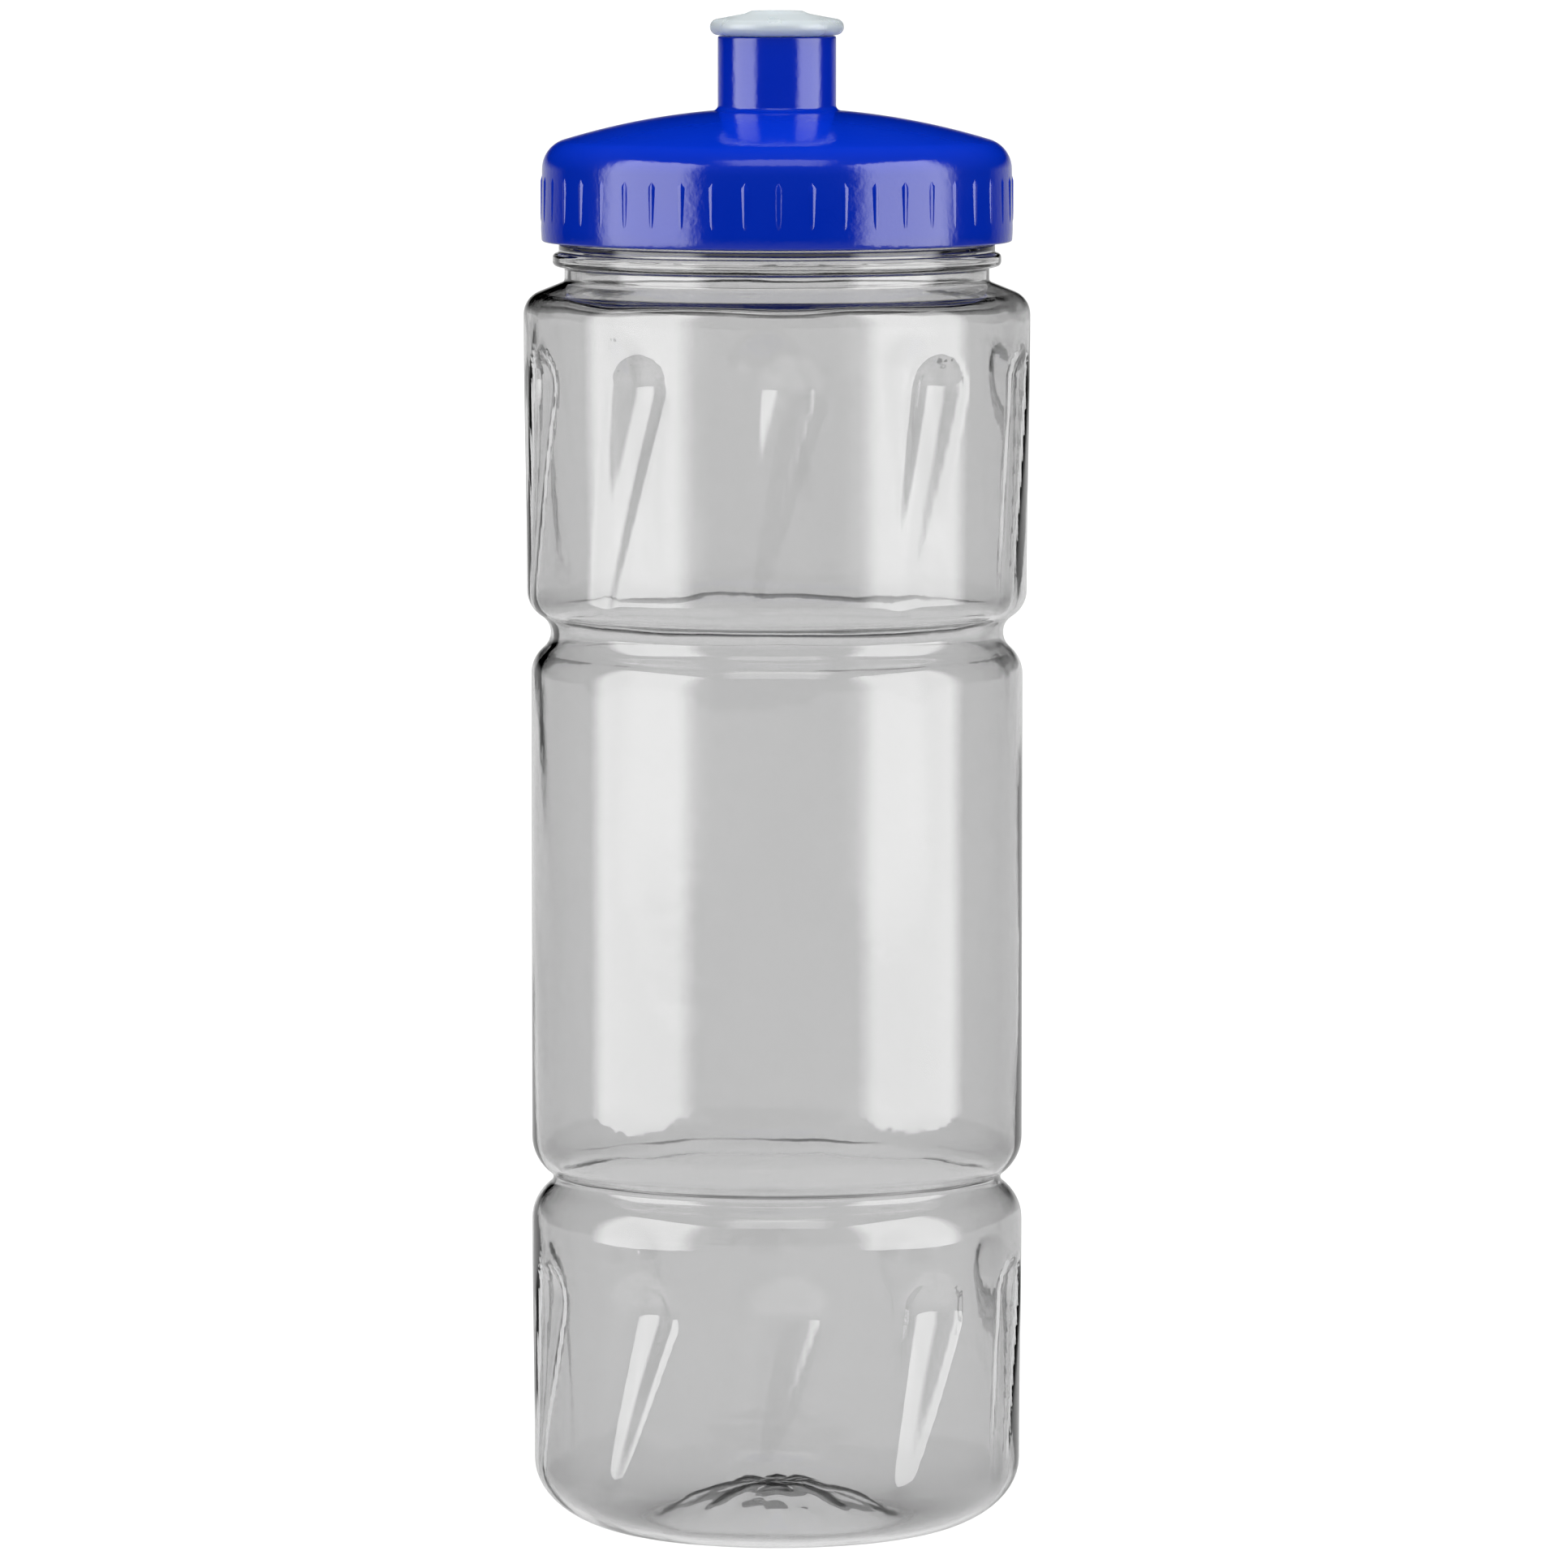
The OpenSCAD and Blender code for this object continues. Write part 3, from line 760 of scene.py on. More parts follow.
@dataclass
class Bottle:
    """The clear bottle: pushed-up base, fluted foot, panel, fluted grip, shoulder and threaded neck."""

    panel_r: float = 36.4 * MM
    foot_r: float = 36.1 * MM
    grip_low_r: float = 37.0 * MM
    grip_high_r: float = 37.45 * MM
    wall: float = 0.8 * MM
    corner_w: float = 15.5 * MM
    corner_h: float = 10.4 * MM
    heel_round: float = 3.5 * MM
    stand_w: float = 1.6 * MM
    push_up: float = 6.0 * MM
    foot_z: float = 46.3 * MM
    panel_z: float = 58.7 * MM
    panel_top_z: float = 127.5 * MM
    grip_z: float = 139.9 * MM
    grip_top_z: float = 180.8 * MM
    lower_valley_r: float = 33.25 * MM
    lower_valley_round: float = 1.2 * MM
    upper_valley_r: float = 33.5 * MM
    upper_valley_round: float = 3.0 * MM
    shoulder_round: float = 3.5 * MM
    shoulder_slope: float = 22.0
    neck_r: float = 31.4 * MM
    neck_wall: float = 1.5 * MM
    neck_h: float = 16.1 * MM
    neck_fillet: float = 0.6 * MM
    bead_gap: float = 1.7 * MM
    bead_h: float = 2.2 * MM
    bead_out: float = 1.75 * MM
    collar_h: float = 1.3 * MM
    collar_out: float = 0.85 * MM
    thread_out: float = 1.2 * MM
    flute_count: int = 10
    flute_lean: float = 11.5
    flute_phase: float = -91.0
    flute_tip_w: float = 2.0 * MM
    flute_blend: float = 1.3 * MM
    flute_foot_gap: float = 0.5 * MM
    flute_head_gap: float = 5.5 * MM
    grip_flute_w: float = 9.0 * MM
    grip_flute_depth: float = 2.0 * MM
    foot_flute_w: float = 10.5 * MM
    foot_flute_depth: float = 2.4 * MM
    segments: int = 220
    row: float = 0.95 * MM
    neck_z: float = field(init=False)
    rim_z: float = field(init=False)

    def __post_init__(self) -> None:
        """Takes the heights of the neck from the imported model."""
        self.rim_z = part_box("bottle")[1].z
        self.neck_z = self.rim_z - self.neck_h

    def groove(self, low: tuple, high: tuple, valley_r: float, valley_round: float, inset: float,
               steps: int) -> list:
        """The outline of one waist groove, from its lower edge to its upper edge.

        Args:
            low: radius and height of the lower edge.
            high: radius and height of the upper edge.
            valley_r: radius at the groove's bottom.
            valley_round: rounding at the groove's bottom.
            inset: how far the outline is moved into the wall.
            steps: straight steps in each of its three arcs.

        Returns:
            The outline's points.
        """
        half = (high[1] - low[1]) / 2
        low_turn = 2 * math.atan((low[0] - valley_r) / half)
        high_turn = 2 * math.atan((high[0] - valley_r) / half)
        low_round = half / math.sin(low_turn) - valley_round
        high_round = half / math.sin(high_turn) - valley_round
        low_turn, high_turn = math.degrees(low_turn), math.degrees(high_turn)
        return (arc((low[0] - low_round, low[1]), low_round - inset, 0, low_turn, steps)
                + arc((valley_r + valley_round, low[1] + half), valley_round + inset,
                      180 + low_turn, 180 - high_turn, steps)
                + arc((high[0] - high_round, high[1]), high_round - inset, -high_turn, 0, steps))

    def straight(self, low: tuple, high: tuple, inset: float, spacing: float) -> list:
        """The outline of a nearly upright wall, its swell eased in, without its two ends."""
        count = max(2, round((high[1] - low[1]) / spacing))
        points = []
        for i in range(1, count):
            t = i / count
            ease = (1 - math.cos(math.pi * t)) / 2
            points.append((low[0] + (high[0] - low[0]) * ease - inset, low[1] + (high[1] - low[1]) * t))
        return points

    def base(self, inset: float, steps: int) -> list:
        """The outline of the base, from its middle to the foot."""
        stand_outer = self.foot_r - self.corner_w
        stand_inner = stand_outer - self.stand_w
        turn = 2 * math.atan(self.push_up / stand_inner)
        dome_r = stand_inner / math.sin(turn) - self.heel_round
        turn = math.degrees(turn)
        points = arc((0, self.push_up - dome_r), dome_r + inset, 90, 90 - turn, 2 * steps)
        points[0] = (0.0, points[0][1])
        points += arc((stand_inner, self.heel_round), self.heel_round - inset, -90 - turn, -90, steps)
        for i in range(2 * steps + 1):
            a = math.radians(-90 + 90 * i / (2 * steps))
            out = np.array([self.corner_h * math.cos(a), self.corner_w * math.sin(a)])
            out /= np.linalg.norm(out)
            points.append((stand_outer + self.corner_w * math.cos(a) - inset * out[0],
                           self.corner_h + self.corner_h * math.sin(a) - inset * out[1]))
        return points

    def body(self, inset: float, steps: int) -> list:
        """The outline from the base's middle to the foot of the neck."""
        foot_low, foot_high = (self.foot_r, self.corner_h), (self.panel_r, self.foot_z)
        panel_low, panel_high = (self.panel_r, self.panel_z), (self.panel_r, self.panel_top_z)
        grip_low, grip_high = (self.grip_low_r, self.grip_z), (self.grip_high_r, self.grip_top_z)
        turn = 90 - self.shoulder_slope
        return (self.base(inset, steps)
                + self.straight(foot_low, foot_high, inset, self.row)
                + self.groove(foot_high, panel_low, self.lower_valley_r, self.lower_valley_round,
                              inset, steps)
                + self.straight(panel_low, panel_high, inset, 11 * self.row)
                + self.groove(panel_high, grip_low, self.upper_valley_r, self.upper_valley_round,
                              inset, steps)
                + self.straight(grip_low, grip_high, inset, self.row)
                + arc((self.grip_high_r - self.shoulder_round, self.grip_top_z),
                      self.shoulder_round - inset, 0, turn, steps)
                + arc((self.neck_r + self.neck_fillet, self.neck_z), self.neck_fillet + inset,
                      180 + turn, 180, 3))

    def neck(self) -> list:
        """The outline of the neck's outside, from above its fillet over the rim to the bore's foot."""
        bead_z = self.neck_z + self.bead_gap
        collar_z = bead_z + self.bead_h
        r, bead_r, collar_r = self.neck_r, self.neck_r + self.bead_out, self.neck_r + self.collar_out
        bore_r = r - self.neck_wall
        bead = rounded([(r, self.neck_z + 0.2 * MM, 0), (r, bead_z, 0.35 * MM),
                        (bead_r, bead_z + 0.25 * MM, 0.7 * MM),
                        (bead_r, collar_z - 0.25 * MM, 0.7 * MM),
                        (collar_r, collar_z, 0.3 * MM),
                        (collar_r, collar_z + self.collar_h, 0.35 * MM),
                        (r, collar_z + self.collar_h + 0.1 * MM, 0)], 3)
        count = round((self.rim_z - collar_z - self.collar_h) / (0.42 * MM))
        low = collar_z + self.collar_h + 0.3 * MM
        high = self.rim_z - 0.6 * MM
        threads = [(r, low + (high - low) * i / count) for i in range(count + 1)]
        rim = rounded([(r, high + 0.1 * MM, 0), (r, self.rim_z, 0.5 * MM),
                       (bore_r, self.rim_z, 0.4 * MM), (bore_r, self.rim_z - 2 * MM, 0)], 3)
        return bead + threads + rim

    def neck_inside(self) -> list:
        """The outline of the neck's inside, which follows the bead and the collar up to the bore."""
        bead_z = self.neck_z + self.bead_gap
        collar_z = bead_z + self.bead_h
        top_z = collar_z + self.collar_h
        wall, ease = self.wall, 0.35 * MM
        low_r = self.neck_r - wall
        bead_r = self.neck_r + self.bead_out - wall - 0.1 * MM
        collar_r = self.neck_r + self.collar_out - wall - 0.1 * MM
        bore_r = self.neck_r - self.neck_wall
        return rounded([(low_r, self.neck_z + 0.2 * MM, 0), (low_r, bead_z + 0.5 * MM, ease),
                        (bead_r, bead_z + 0.9 * MM, ease), (bead_r, collar_z - 0.5 * MM, ease),
                        (collar_r, collar_z - 0.1 * MM, ease), (collar_r, top_z - wall, ease),
                        (bore_r, top_z + 0.3 * MM, ease), (bore_r, top_z + MM, 0)], 3)

    def build(self, material: bpy.types.Material) -> bpy.types.Object:
        """Makes the bottle's closed shell, outside and inside.

        Args:
            material: its finish.

        Returns:
            The finished piece.
        """
        outside = self.body(0.0, 8) + self.neck()
        inside = self.body(self.wall, 6) + self.neck_inside()
        outline = outside + inside[::-1]
        mesh = revolve("bottle_shell", outline, self.segments, closed=False)
        self.cut_thread(mesh)
        flutes, petals = flute_tree(), petal_tree()
        shared = {"Count": self.flute_count, "Lean": math.radians(self.flute_lean),
                  "Phase": math.radians(self.flute_phase), "Tip Width": self.flute_tip_w,
                  "Edge Blend": self.flute_blend}
        grip = dict(shared, **{
            "Low": self.grip_z + self.flute_foot_gap, "High": self.grip_top_z - self.flute_head_gap,
            "Wall Radius": (self.grip_low_r + self.grip_high_r) / 2,
            "Top Width": self.grip_flute_w, "Depth": self.grip_flute_depth})
        foot = dict(shared, **{
            "Low": self.corner_h + self.flute_foot_gap, "High": self.foot_z - self.flute_head_gap,
            "Wall Radius": (self.panel_r + self.foot_r) / 2,
            "Top Width": self.foot_flute_w, "Depth": self.foot_flute_depth})
        base = {"Count": 8, "Inner Radius": 4.6 * MM, "Outer Radius": 12.4 * MM, "Width": 3.4 * MM,
                "Rise": 0.5 * MM, "Ceiling": 9.0 * MM, "Lump Rise": 1.2 * MM, "Lump Scale": 170.0,
                "Lump Reach": 1.35, "Seed": 4.0}
        uneven = {"Rise": 0.7 * MM, "Scale": 62.0, "Stretch": 0.6, "Seed": 7.0}
        mesh = grown("bottle_clear_shell", mesh, material, (flutes, grip), (flutes, foot),
                     (petals, base), (uneven_tree(), uneven))
        piece = placed("bottle_clear_shell", mesh)
        piece.visible_diffuse = False
        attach(piece, Body.BOTTLE.value)
        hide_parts("bottle")
        return piece

    def cut_thread(self, mesh: bpy.types.Mesh) -> None:
        """Raises the neck's thread out of the shell's outside."""
        thread = Thread(start_z=self.rim_z - 9.4 * MM, first_turn=0.0, segments=6, span=80.0,
                        stand=self.thread_out)
        for vertex in mesh.vertices:
            x, y, z = vertex.co
            radius = math.hypot(x, y)
            if radius > self.neck_r - 0.05 * MM and z > thread.start_z - 2 * MM:
                scale = 1 + thread.swell(math.degrees(math.atan2(y, x)), z) / radius
                vertex.co = (x * scale, y * scale, z)
        mesh.update()


# ---------------------------------------------------------------- gasket, lid and tip


@dataclass
class Gasket:
    """The flat sealing ring in the lid."""

    inner_r: float = 28.95 * MM
    outer_r: float = 32.95 * MM
    edge: float = 0.25 * MM

    def build(self, material: bpy.types.Material) -> bpy.types.Object:
        """Makes the ring, with eased edges and two shallow pressed lines."""
        low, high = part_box("lid_gasket")[0].z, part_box("lid_gasket")[1].z
        middle = (self.inner_r + self.outer_r) / 2
        line = 0.06 * MM
        outline = rounded([
            (middle, low, 0), (self.outer_r, low, self.edge), (self.outer_r, high, self.edge),
            (middle + 0.9 * MM, high, 0), (middle + 0.6 * MM, high - line, 0),
            (middle + 0.3 * MM, high, 0), (middle - 0.3 * MM, high, 0),
            (middle - 0.6 * MM, high - line, 0), (middle - 0.9 * MM, high, 0),
            (self.inner_r, high, self.edge), (self.inner_r, low, self.edge), (middle - MM, low, 0)], 4)
        mesh = revolve("gasket_ring", outline, 160, closed=True)
        mesh.materials.append(material)
        piece = placed("gasket_ring", mesh)
        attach(piece, Body.GASKET.value)
        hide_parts("lid_gasket")
        return piece


@dataclass
class Lid:
    """The screw lid: ribbed skirt, domed crown, spout, and the post on its struts inside."""

    skirt_inner_r: float = 33.35 * MM
    skirt_top_r: float = 34.7 * MM
    skirt_low_r: float = 34.85 * MM
    seat_above: float = 12.0 * MM
    seat_inner_r: float = 28.85 * MM
    crown_h: float = 7.7 * MM
    crown_r: float = 108.0 * MM
    crown_corner: float = 4.5 * MM
    crown_wall: float = 1.35 * MM
    spout_r: float = 8.75 * MM
    bore_r: float = 7.5 * MM
    lip_r: float = 7.15 * MM
    lip_h: float = 1.8 * MM
    spout_h: float = 10.6 * MM
    collar_drop: float = 4.2 * MM
    fillet: float = 0.8 * MM
    post_r: float = 2.2 * MM
    strut_count: int = 3
    strut_w: float = 1.6 * MM
    strut_h: float = 1.8 * MM
    rib_count: int = 45
    rib_h: float = 8.0 * MM
    rib_band: float = 1.8 * MM
    rib_half_w: float = 0.75 * MM
    rib_out: float = 0.22 * MM
    segments: int = 216
    low_z: float = field(init=False)
    top_z: float = field(init=False)

    def __post_init__(self) -> None:
        """Takes the lid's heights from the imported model."""
        self.low_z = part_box("lid")[0].z
        self.top_z = self.low_z + self.seat_above + self.crown_h

    def shell_outline(self) -> list:
        """The outline of skirt, crown, spout and bore, as one closed ring."""
        seat_z = self.low_z + self.seat_above
        dome_z = self.top_z - self.crown_r
        corner_r = self.skirt_top_r - self.crown_corner
        corner_z = dome_z + math.sqrt((self.crown_r - self.crown_corner) ** 2 - corner_r ** 2)
        turn = math.degrees(math.atan2(corner_z - dome_z, corner_r))
        foot_r = self.spout_r + self.fillet
        foot_z = dome_z + math.sqrt(self.crown_r ** 2 - foot_r ** 2)
        foot_turn = math.degrees(math.acos(foot_r / self.crown_r))
        spout_z = self.top_z + self.spout_h
        collar_z = self.top_z - self.collar_drop
        inner_dome = self.crown_r - self.crown_wall
        outside = rounded([(self.skirt_inner_r + 0.5 * MM, self.low_z, 0),
                           (self.skirt_low_r - 0.1 * MM, self.low_z, 0.35 * MM),
                           (self.skirt_low_r, self.low_z + self.rib_band, 0),
                           (self.skirt_low_r, self.low_z + self.rib_band + 0.3 * MM, 0)], 4)
        outside += arc((corner_r, corner_z), self.crown_corner, 0, turn, 12)
        outside += arc((0, dome_z), self.crown_r, turn, foot_turn, 14)[1:]
        outside += arc((foot_r, foot_z + self.fillet), self.fillet, 268, 180, 6)
        mouth = rounded([(self.spout_r, spout_z - 2 * MM, 0), (self.spout_r, spout_z, 0.35 * MM),
                         (self.lip_r, spout_z, 0.3 * MM), (self.lip_r, spout_z - self.lip_h, 0.15 * MM),
                         (self.bore_r, spout_z - self.lip_h - 0.2 * MM, 0.1 * MM),
                         (self.bore_r, collar_z, 0.25 * MM), (self.spout_r, collar_z, 0.25 * MM),
                         (self.spout_r, dome_z + math.sqrt(inner_dome ** 2 - self.spout_r ** 2), 0)], 4)
        spout_turn = math.degrees(math.acos(self.spout_r / inner_dome))
        seat_turn = math.degrees(math.acos(self.seat_inner_r / inner_dome))
        inside = arc((0, dome_z), inner_dome, spout_turn, seat_turn, 10)[1:]
        inside += [(self.seat_inner_r, seat_z), (self.skirt_inner_r, seat_z)]
        rows = 30
        inside += [(self.skirt_inner_r, seat_z - (self.seat_above - 0.5 * MM) * i / rows)
                   for i in range(1, rows + 1)]
        return outside + mouth + inside

    def rib(self) -> bpy.types.Mesh:
        """One grip rib at the origin: a slim swelling with a soft round top and a pointed foot.

        Returns:
            The rib's closed mesh, with +X pointing out of the skirt.
        """
        rows, columns, root = 10, 8, 0.35 * MM
        verts, faces = [], []
        for i in range(rows + 1):
            t = i / rows
            foot = min(1.0, t / 0.22)
            head = math.sqrt(max(0.0, 1 - (max(0.0, t - 0.86) / 0.14) ** 2))
            wide = max(0.06, min(foot, head)) * self.rib_half_w
            tall = max(0.02, min(foot, head)) * self.rib_out
            for j in range(columns + 1):
                a = math.pi * (2 * j / columns - 1)
                verts.append((tall * (1 + math.cos(a)) / 2, wide * a / math.pi, self.rib_h * t))
            verts.append((-root, wide, self.rib_h * t))
            verts.append((-root, -wide, self.rib_h * t))
        ring = columns + 3
        for i in range(rows):
            for j in range(ring):
                k = (j + 1) % ring
                faces.append((i * ring + j, i * ring + k, (i + 1) * ring + k, (i + 1) * ring + j))
        faces.append(tuple(range(ring)))
        faces.append(tuple(range(rows * ring, (rows + 1) * ring)))
        return finish_mesh("grip_rib", verts, faces)

    def strut(self) -> bpy.types.Mesh:
        """One strut at the origin, reaching from the post into the spout's wall."""
        bm = bmesh.new()
        bmesh.ops.create_cube(bm, size=1.0)
        reach = self.bore_r + 0.4 * MM
        for vertex in bm.verts:
            vertex.co = Vector(((vertex.co.x + 0.5) * reach, vertex.co.y * self.strut_w,
                                (vertex.co.z + 0.5) * self.strut_h))
        bmesh.ops.bevel(bm, geom=list(bm.edges), offset=0.2 * MM, segments=2, affect="EDGES")
        mesh = bpy.data.meshes.new("strut")
        bm.to_mesh(mesh)
        bm.free()
        return mesh

    def build(self, material: bpy.types.Material) -> bpy.types.Object:
        """Makes the lid.

        Args:
            material: its finish.

        Returns:
            The finished piece.
        """
        shell = revolve("lid_shell", self.shell_outline(), self.segments, closed=True)
        thread = Thread(start_z=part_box("bottle")[1].z - 7.0 * MM, first_turn=-90.0, segments=5,
                        span=70.0, stand=-1.55 * MM)
        seat_z = self.low_z + self.seat_above
        for vertex in shell.vertices:
            x, y, z = vertex.co
            radius = math.hypot(x, y)
            if abs(radius - self.skirt_inner_r) < 0.01 * MM and self.low_z + MM < z < seat_z - MM:
                scale = 1 + thread.swell(math.degrees(math.atan2(y, x)), z) / radius
                vertex.co = (x * scale, y * scale, z)
        shade(shell)
        ring = ring_tree()
        ribs = grown("lid_ribs", self.rib(), material, (ring, {
            "Count": self.rib_count, "Radius": self.skirt_top_r,
            "Height": self.low_z + self.rib_band, "Phase": math.radians(-89.6)}))
        collar_z = self.top_z - self.collar_drop
        struts = grown("lid_struts", self.strut(), material, (ring, {
            "Count": self.strut_count, "Radius": 0.001 * MM, "Height": collar_z, "Phase": 0.0}))
        post_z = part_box("lid")[1].z
        post = revolve("lid_post", rounded([
            (0, collar_z, 0), (self.post_r, collar_z, 0.2 * MM), (self.post_r, post_z, 0.6 * MM),
            (0, post_z, 0)], 5), 48, closed=False)
        for mesh in (shell, ribs, struts, post):
            mesh.materials.clear()
            mesh.materials.append(material)
        whole = joined("lid_screw_cap", [shell, ribs, struts, post])
        whole.materials.append(material)
        piece = placed("lid_screw_cap", whole)
        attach(piece, Body.LID.value)
        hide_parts("lid")
        return piece


@dataclass
class DrinkingTip:
    """The push-pull tip: a round-edged flange with a raised middle, on a hollow stem with a stop bead."""

    flange_r: float = 9.9 * MM
    flange_t: float = 2.4 * MM
    rise: float = 1.2 * MM
    land_r: float = 3.7 * MM
    stem_r: float = 6.95 * MM
    stem_bore_r: float = 5.6 * MM
    bead_r: float = 7.35 * MM
    bead_h: float = 2.0 * MM
    hole_r: float = 2.35 * MM
    roof: float = 1.8 * MM

    def build(self, material: bpy.types.Material) -> bpy.types.Object:
        """Makes the tip.

        Args:
            material: its finish.

        Returns:
            The finished piece.
        """
        low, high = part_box("drinking_tip")[0].z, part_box("drinking_tip")[1].z
        under = high - self.rise - self.flange_t
        half = self.flange_t / 2
        round_r = self.flange_r - half
        outline = rounded([
            (self.stem_bore_r, low, 0.2 * MM), (self.bead_r, low, 0.3 * MM),
            (self.bead_r, low + self.bead_h - 0.4 * MM, 0.25 * MM),
            (self.stem_r, low + self.bead_h, 0.2 * MM), (self.stem_r, under, 0.2 * MM),
            (round_r, under, 0)], 4)[:-1]
        outline += arc((round_r, under + half), half, -90, 78, 14)
        top = outline[-1]
        outline += rounded([
            top, (self.land_r + 1.1 * MM, high - 0.45 * MM, 0.9 * MM), (self.land_r, high, 0.5 * MM),
            (self.hole_r, high, 0.25 * MM), (self.hole_r, high - self.roof, 0.2 * MM),
            (self.stem_bore_r, high - self.roof * 1.5, 0.6 * MM), (self.stem_bore_r, low + MM, 0)], 5)[1:]
        mesh = revolve("drinking_tip_soft", outline, 128, closed=True)
        mesh.materials.append(material)
        piece = placed("drinking_tip_soft", mesh)
        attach(piece, Body.TIP.value)
        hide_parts("drinking_tip")
        return piece


# ---------------------------------------------------------------- the studio


class Seen(Enum):
    """How a soft box shows: as a reflection off a surface, or through clear plastic."""

    REFLECTED = "reflected"
    THROUGH = "through"


@dataclass
class SoftBox:
    """A soft strip light round the bottle, which only glossy or only clear surfaces show."""

    name: str
    seen: Seen
    turn: float
    width: float
    height: float
    glow: float
    distance: float = 0.9
    middle_z: float = 0.452
    aim_z: float = 0.452
    fade: float = 0.22

    def build(self) -> bpy.types.Object:
        """Makes the light, facing the bottle."""
        light = bpy.data.lights.new(self.name, "AREA")
        light.shape = "RECTANGLE"
        light.size, light.size_y = self.width, self.height
        light.energy = self.glow * math.pi * self.width * self.height
        self.soften(light)
        obj = bpy.data.objects.new(self.name, light)
        a = math.radians(self.turn)
        obj.location = (self.distance * math.sin(a), -self.distance * math.cos(a), self.middle_z)
        aim = Vector((0, 0, self.aim_z)) - obj.location
        obj.rotation_euler = aim.to_track_quat("-Z", "Y").to_euler()
        obj.visible_camera = False
        obj.visible_diffuse = False
        obj.visible_glossy = self.seen is Seen.REFLECTED
        obj.visible_transmission = self.seen is Seen.THROUGH
        bpy.context.scene.collection.objects.link(obj)
        return obj

    def soften(self, light: bpy.types.Light) -> None:
        """Fades the light towards its two upright edges."""
        light.use_nodes = True
        nodes, links = light.node_tree.nodes, light.node_tree.links
        split = nodes.new("ShaderNodeSeparateXYZ")
        links.new(nodes.new("ShaderNodeNewGeometry").outputs["Parametric"], split.inputs[0])
        edges = []
        for start, end in ((0.0, self.fade), (1.0, 1.0 - self.fade)):
            fade = mapped(light.node_tree, split.outputs["X"], start, end)
            fade.interpolation_type = "SMOOTHSTEP"
            edges.append(fade.outputs[0])
        emission = next(n for n in nodes if n.type == "EMISSION")
        links.new(combined(light.node_tree, "MULTIPLY", *edges), emission.inputs["Strength"])


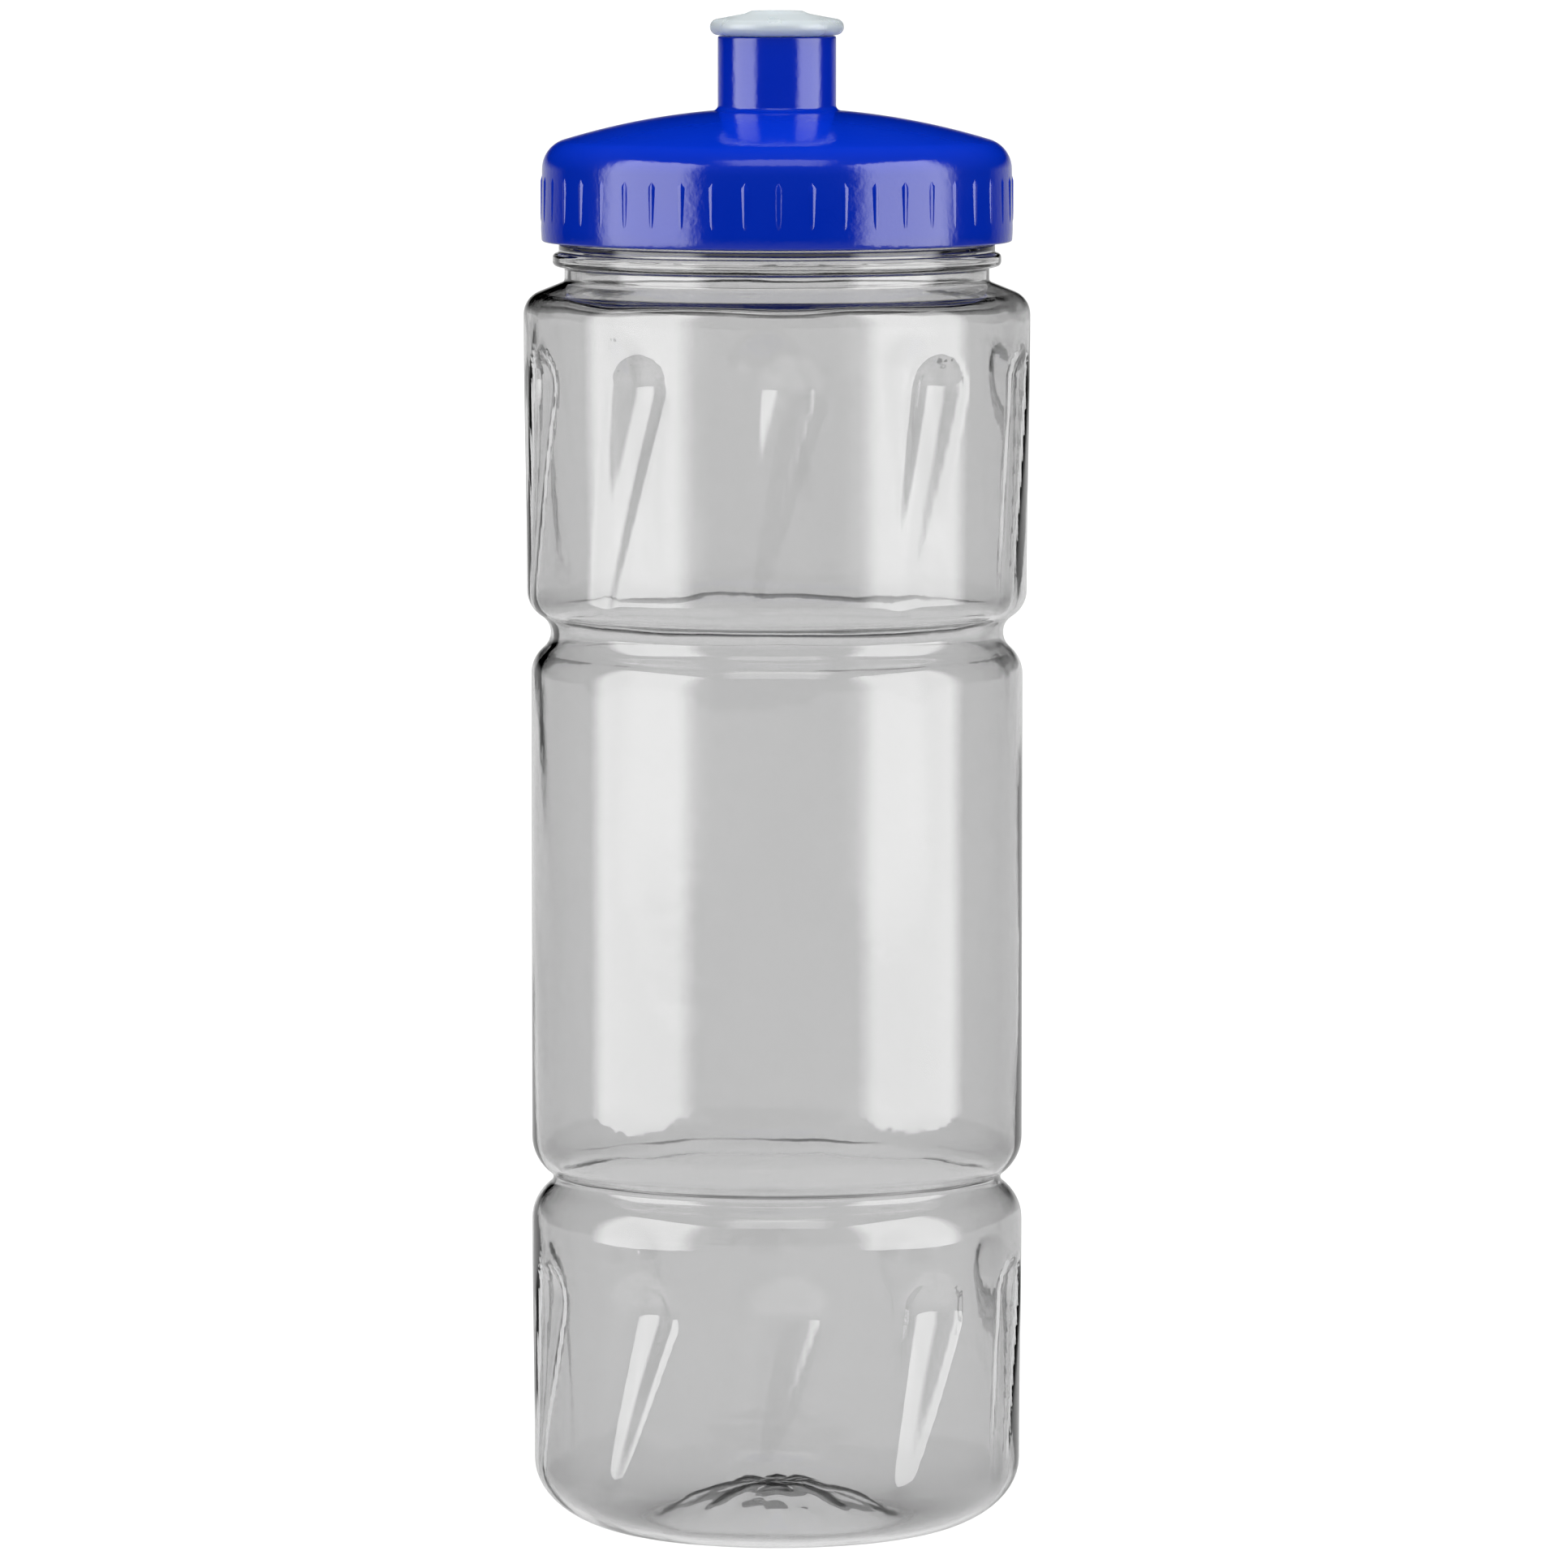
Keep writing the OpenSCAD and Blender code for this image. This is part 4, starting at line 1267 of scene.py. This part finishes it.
@dataclass
class Studio:
    """The pale floor, the soft surroundings, the strip lights and the camera."""

    white: float = 1.28
    below: float = 0.35
    above: float = 1.75
    gloss_back: float = 0.6
    gloss_floor: float = 0.85
    sky_span: tuple[float, float] = (-0.1, 0.9)
    back_span: tuple[float, float] = (0.62, 0.97)
    back_top_span: tuple[float, float] = (0.0, 0.10)
    floor_span: tuple[float, float] = (-0.13, -0.45)
    floor_reach: float = 40.0
    aim_z: float = 0.111
    distance: float = 1.686
    elevation: float = 5.05
    lens: float = 260.9
    shift: float = 0.0045
    boxes: list = field(default_factory=lambda: [
        SoftBox("left_soft_box", Seen.REFLECTED, -67.0, 1.08, 1.036, 5.4),
        SoftBox("right_soft_box", Seen.REFLECTED, 67.0, 1.08, 1.036, 5.4),
        SoftBox("left_soft_box_through", Seen.THROUGH, -56.0, 0.86, 1.036, 1.1),
        SoftBox("right_soft_box_through", Seen.THROUGH, 56.0, 0.86, 1.036, 1.1),
        SoftBox("top_soft_box", Seen.REFLECTED, 0.0, 1.3, 0.6, 2.2, 0.9, 1.3, 0.15),
        SoftBox("top_soft_box_through", Seen.THROUGH, 0.0, 0.9, 0.5, 3.0, 0.3, 1.4, 0.15),
    ])

    def floor(self) -> None:
        """Makes the floor."""
        reach = self.floor_reach
        verts = [(-reach, -reach, 0), (reach, -reach, 0), (reach, reach, 0), (-reach, reach, 0)]
        mesh = bpy.data.meshes.new("floor")
        mesh.from_pydata(verts, [], [(0, 1, 2, 3)])
        paint = Paint("floor_paper")
        paint.set(Base_Color=(0.82, 0.82, 0.82, 1.0), Roughness=0.9, Specular_IOR_Level=0.0)
        mesh.materials.append(paint.material)
        obj = placed("floor", mesh)
        obj.visible_glossy = False
        obj.visible_diffuse = False

    def surroundings(self) -> None:
        """Makes the white surroundings. A glossy surface sees only the backdrop and the paper below."""
        world = bpy.data.worlds.new("soft_studio")
        bpy.context.scene.world = world
        world.use_nodes = True
        world.cycles.sampling_method = "NONE"
        nodes, links = world.node_tree.nodes, world.node_tree.links
        nodes.clear()
        output = nodes.new("ShaderNodeOutputWorld")
        path = nodes.new("ShaderNodeLightPath").outputs
        split = nodes.new("ShaderNodeSeparateXYZ")
        links.new(nodes.new("ShaderNodeTexCoord").outputs["Generated"], split.inputs[0])

        def fade(axis: str, span: tuple[float, float], low: float,
                 high: float) -> bpy.types.NodeSocket:
            """Maps one part of the direction over a span to low..high."""
            return mapped(world.node_tree, split.outputs[axis], *span, low, high).outputs[0]

        sky = fade("Z", self.sky_span, self.below, self.above)
        behind = combined(world.node_tree, "MULTIPLY",
                          fade("Y", self.back_span, 0.0, self.gloss_back),
                          fade("Z", self.back_top_span, 1.0, 0.0))
        gloss = combined(world.node_tree, "MAXIMUM", behind,
                         fade("Z", self.floor_span, 0.0, self.gloss_floor))
        levels = []
        for strength in (self.white, gloss, sky):
            level = nodes.new("ShaderNodeBackground")
            level.inputs["Color"].default_value = (1.0, 1.0, 1.0, 1.0)
            if isinstance(strength, float):
                level.inputs["Strength"].default_value = strength
            else:
                links.new(strength, level.inputs["Strength"])
            levels.append(level.outputs[0])
        shown = levels[0]
        # a ray that has gone through clear plastic counts as glossy too
        for kind, level in (("Is Diffuse Ray", levels[2]), ("Is Glossy Ray", levels[1])):
            mix = nodes.new("ShaderNodeMixShader")
            links.new(path[kind], mix.inputs[0])
            links.new(shown, mix.inputs[1])
            links.new(level, mix.inputs[2])
            shown = mix.outputs[0]
        links.new(shown, output.inputs["Surface"])

    def camera(self) -> None:
        """Makes the camera."""
        data = bpy.data.cameras.new("camera")
        data.sensor_width = 36.0
        data.lens = self.lens
        data.shift_x = self.shift
        data.clip_end = 100.0
        cam = bpy.data.objects.new("camera", data)
        e = math.radians(self.elevation)
        back = Vector((0, -math.cos(e), math.sin(e)))
        cam.location = Vector((0, 0, self.aim_z)) + back * self.distance
        cam.rotation_euler = (-back).to_track_quat("-Z", "Y").to_euler()
        bpy.context.scene.collection.objects.link(cam)
        bpy.context.scene.camera = cam

    def build(self) -> None:
        """Makes the whole studio."""
        bpy.context.scene.view_settings.view_transform = "Standard"
        self.floor()
        self.surroundings()
        for box in self.boxes:
            box.build()
        self.camera()


def main() -> None:
    """Builds the studio and every piece, and reports each piece."""
    logging.basicConfig(level=logging.INFO, format="%(message)s")
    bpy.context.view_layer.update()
    Studio().build()
    pieces = [
        Bottle().build(ClearPlastic().make()),
        Gasket().build(MatteSeal().make()),
        Lid().build(GlossyLidPlastic().make()),
        DrinkingTip().build(FrostedTipPlastic().make()),
    ]
    for piece in pieces:
        piece.data.calc_loop_triangles()
        LOG.info("%s: %d triangles, %d points", piece.name, len(piece.data.loop_triangles),
                 len(piece.data.vertices))


if __name__ == "__main__":
    main()
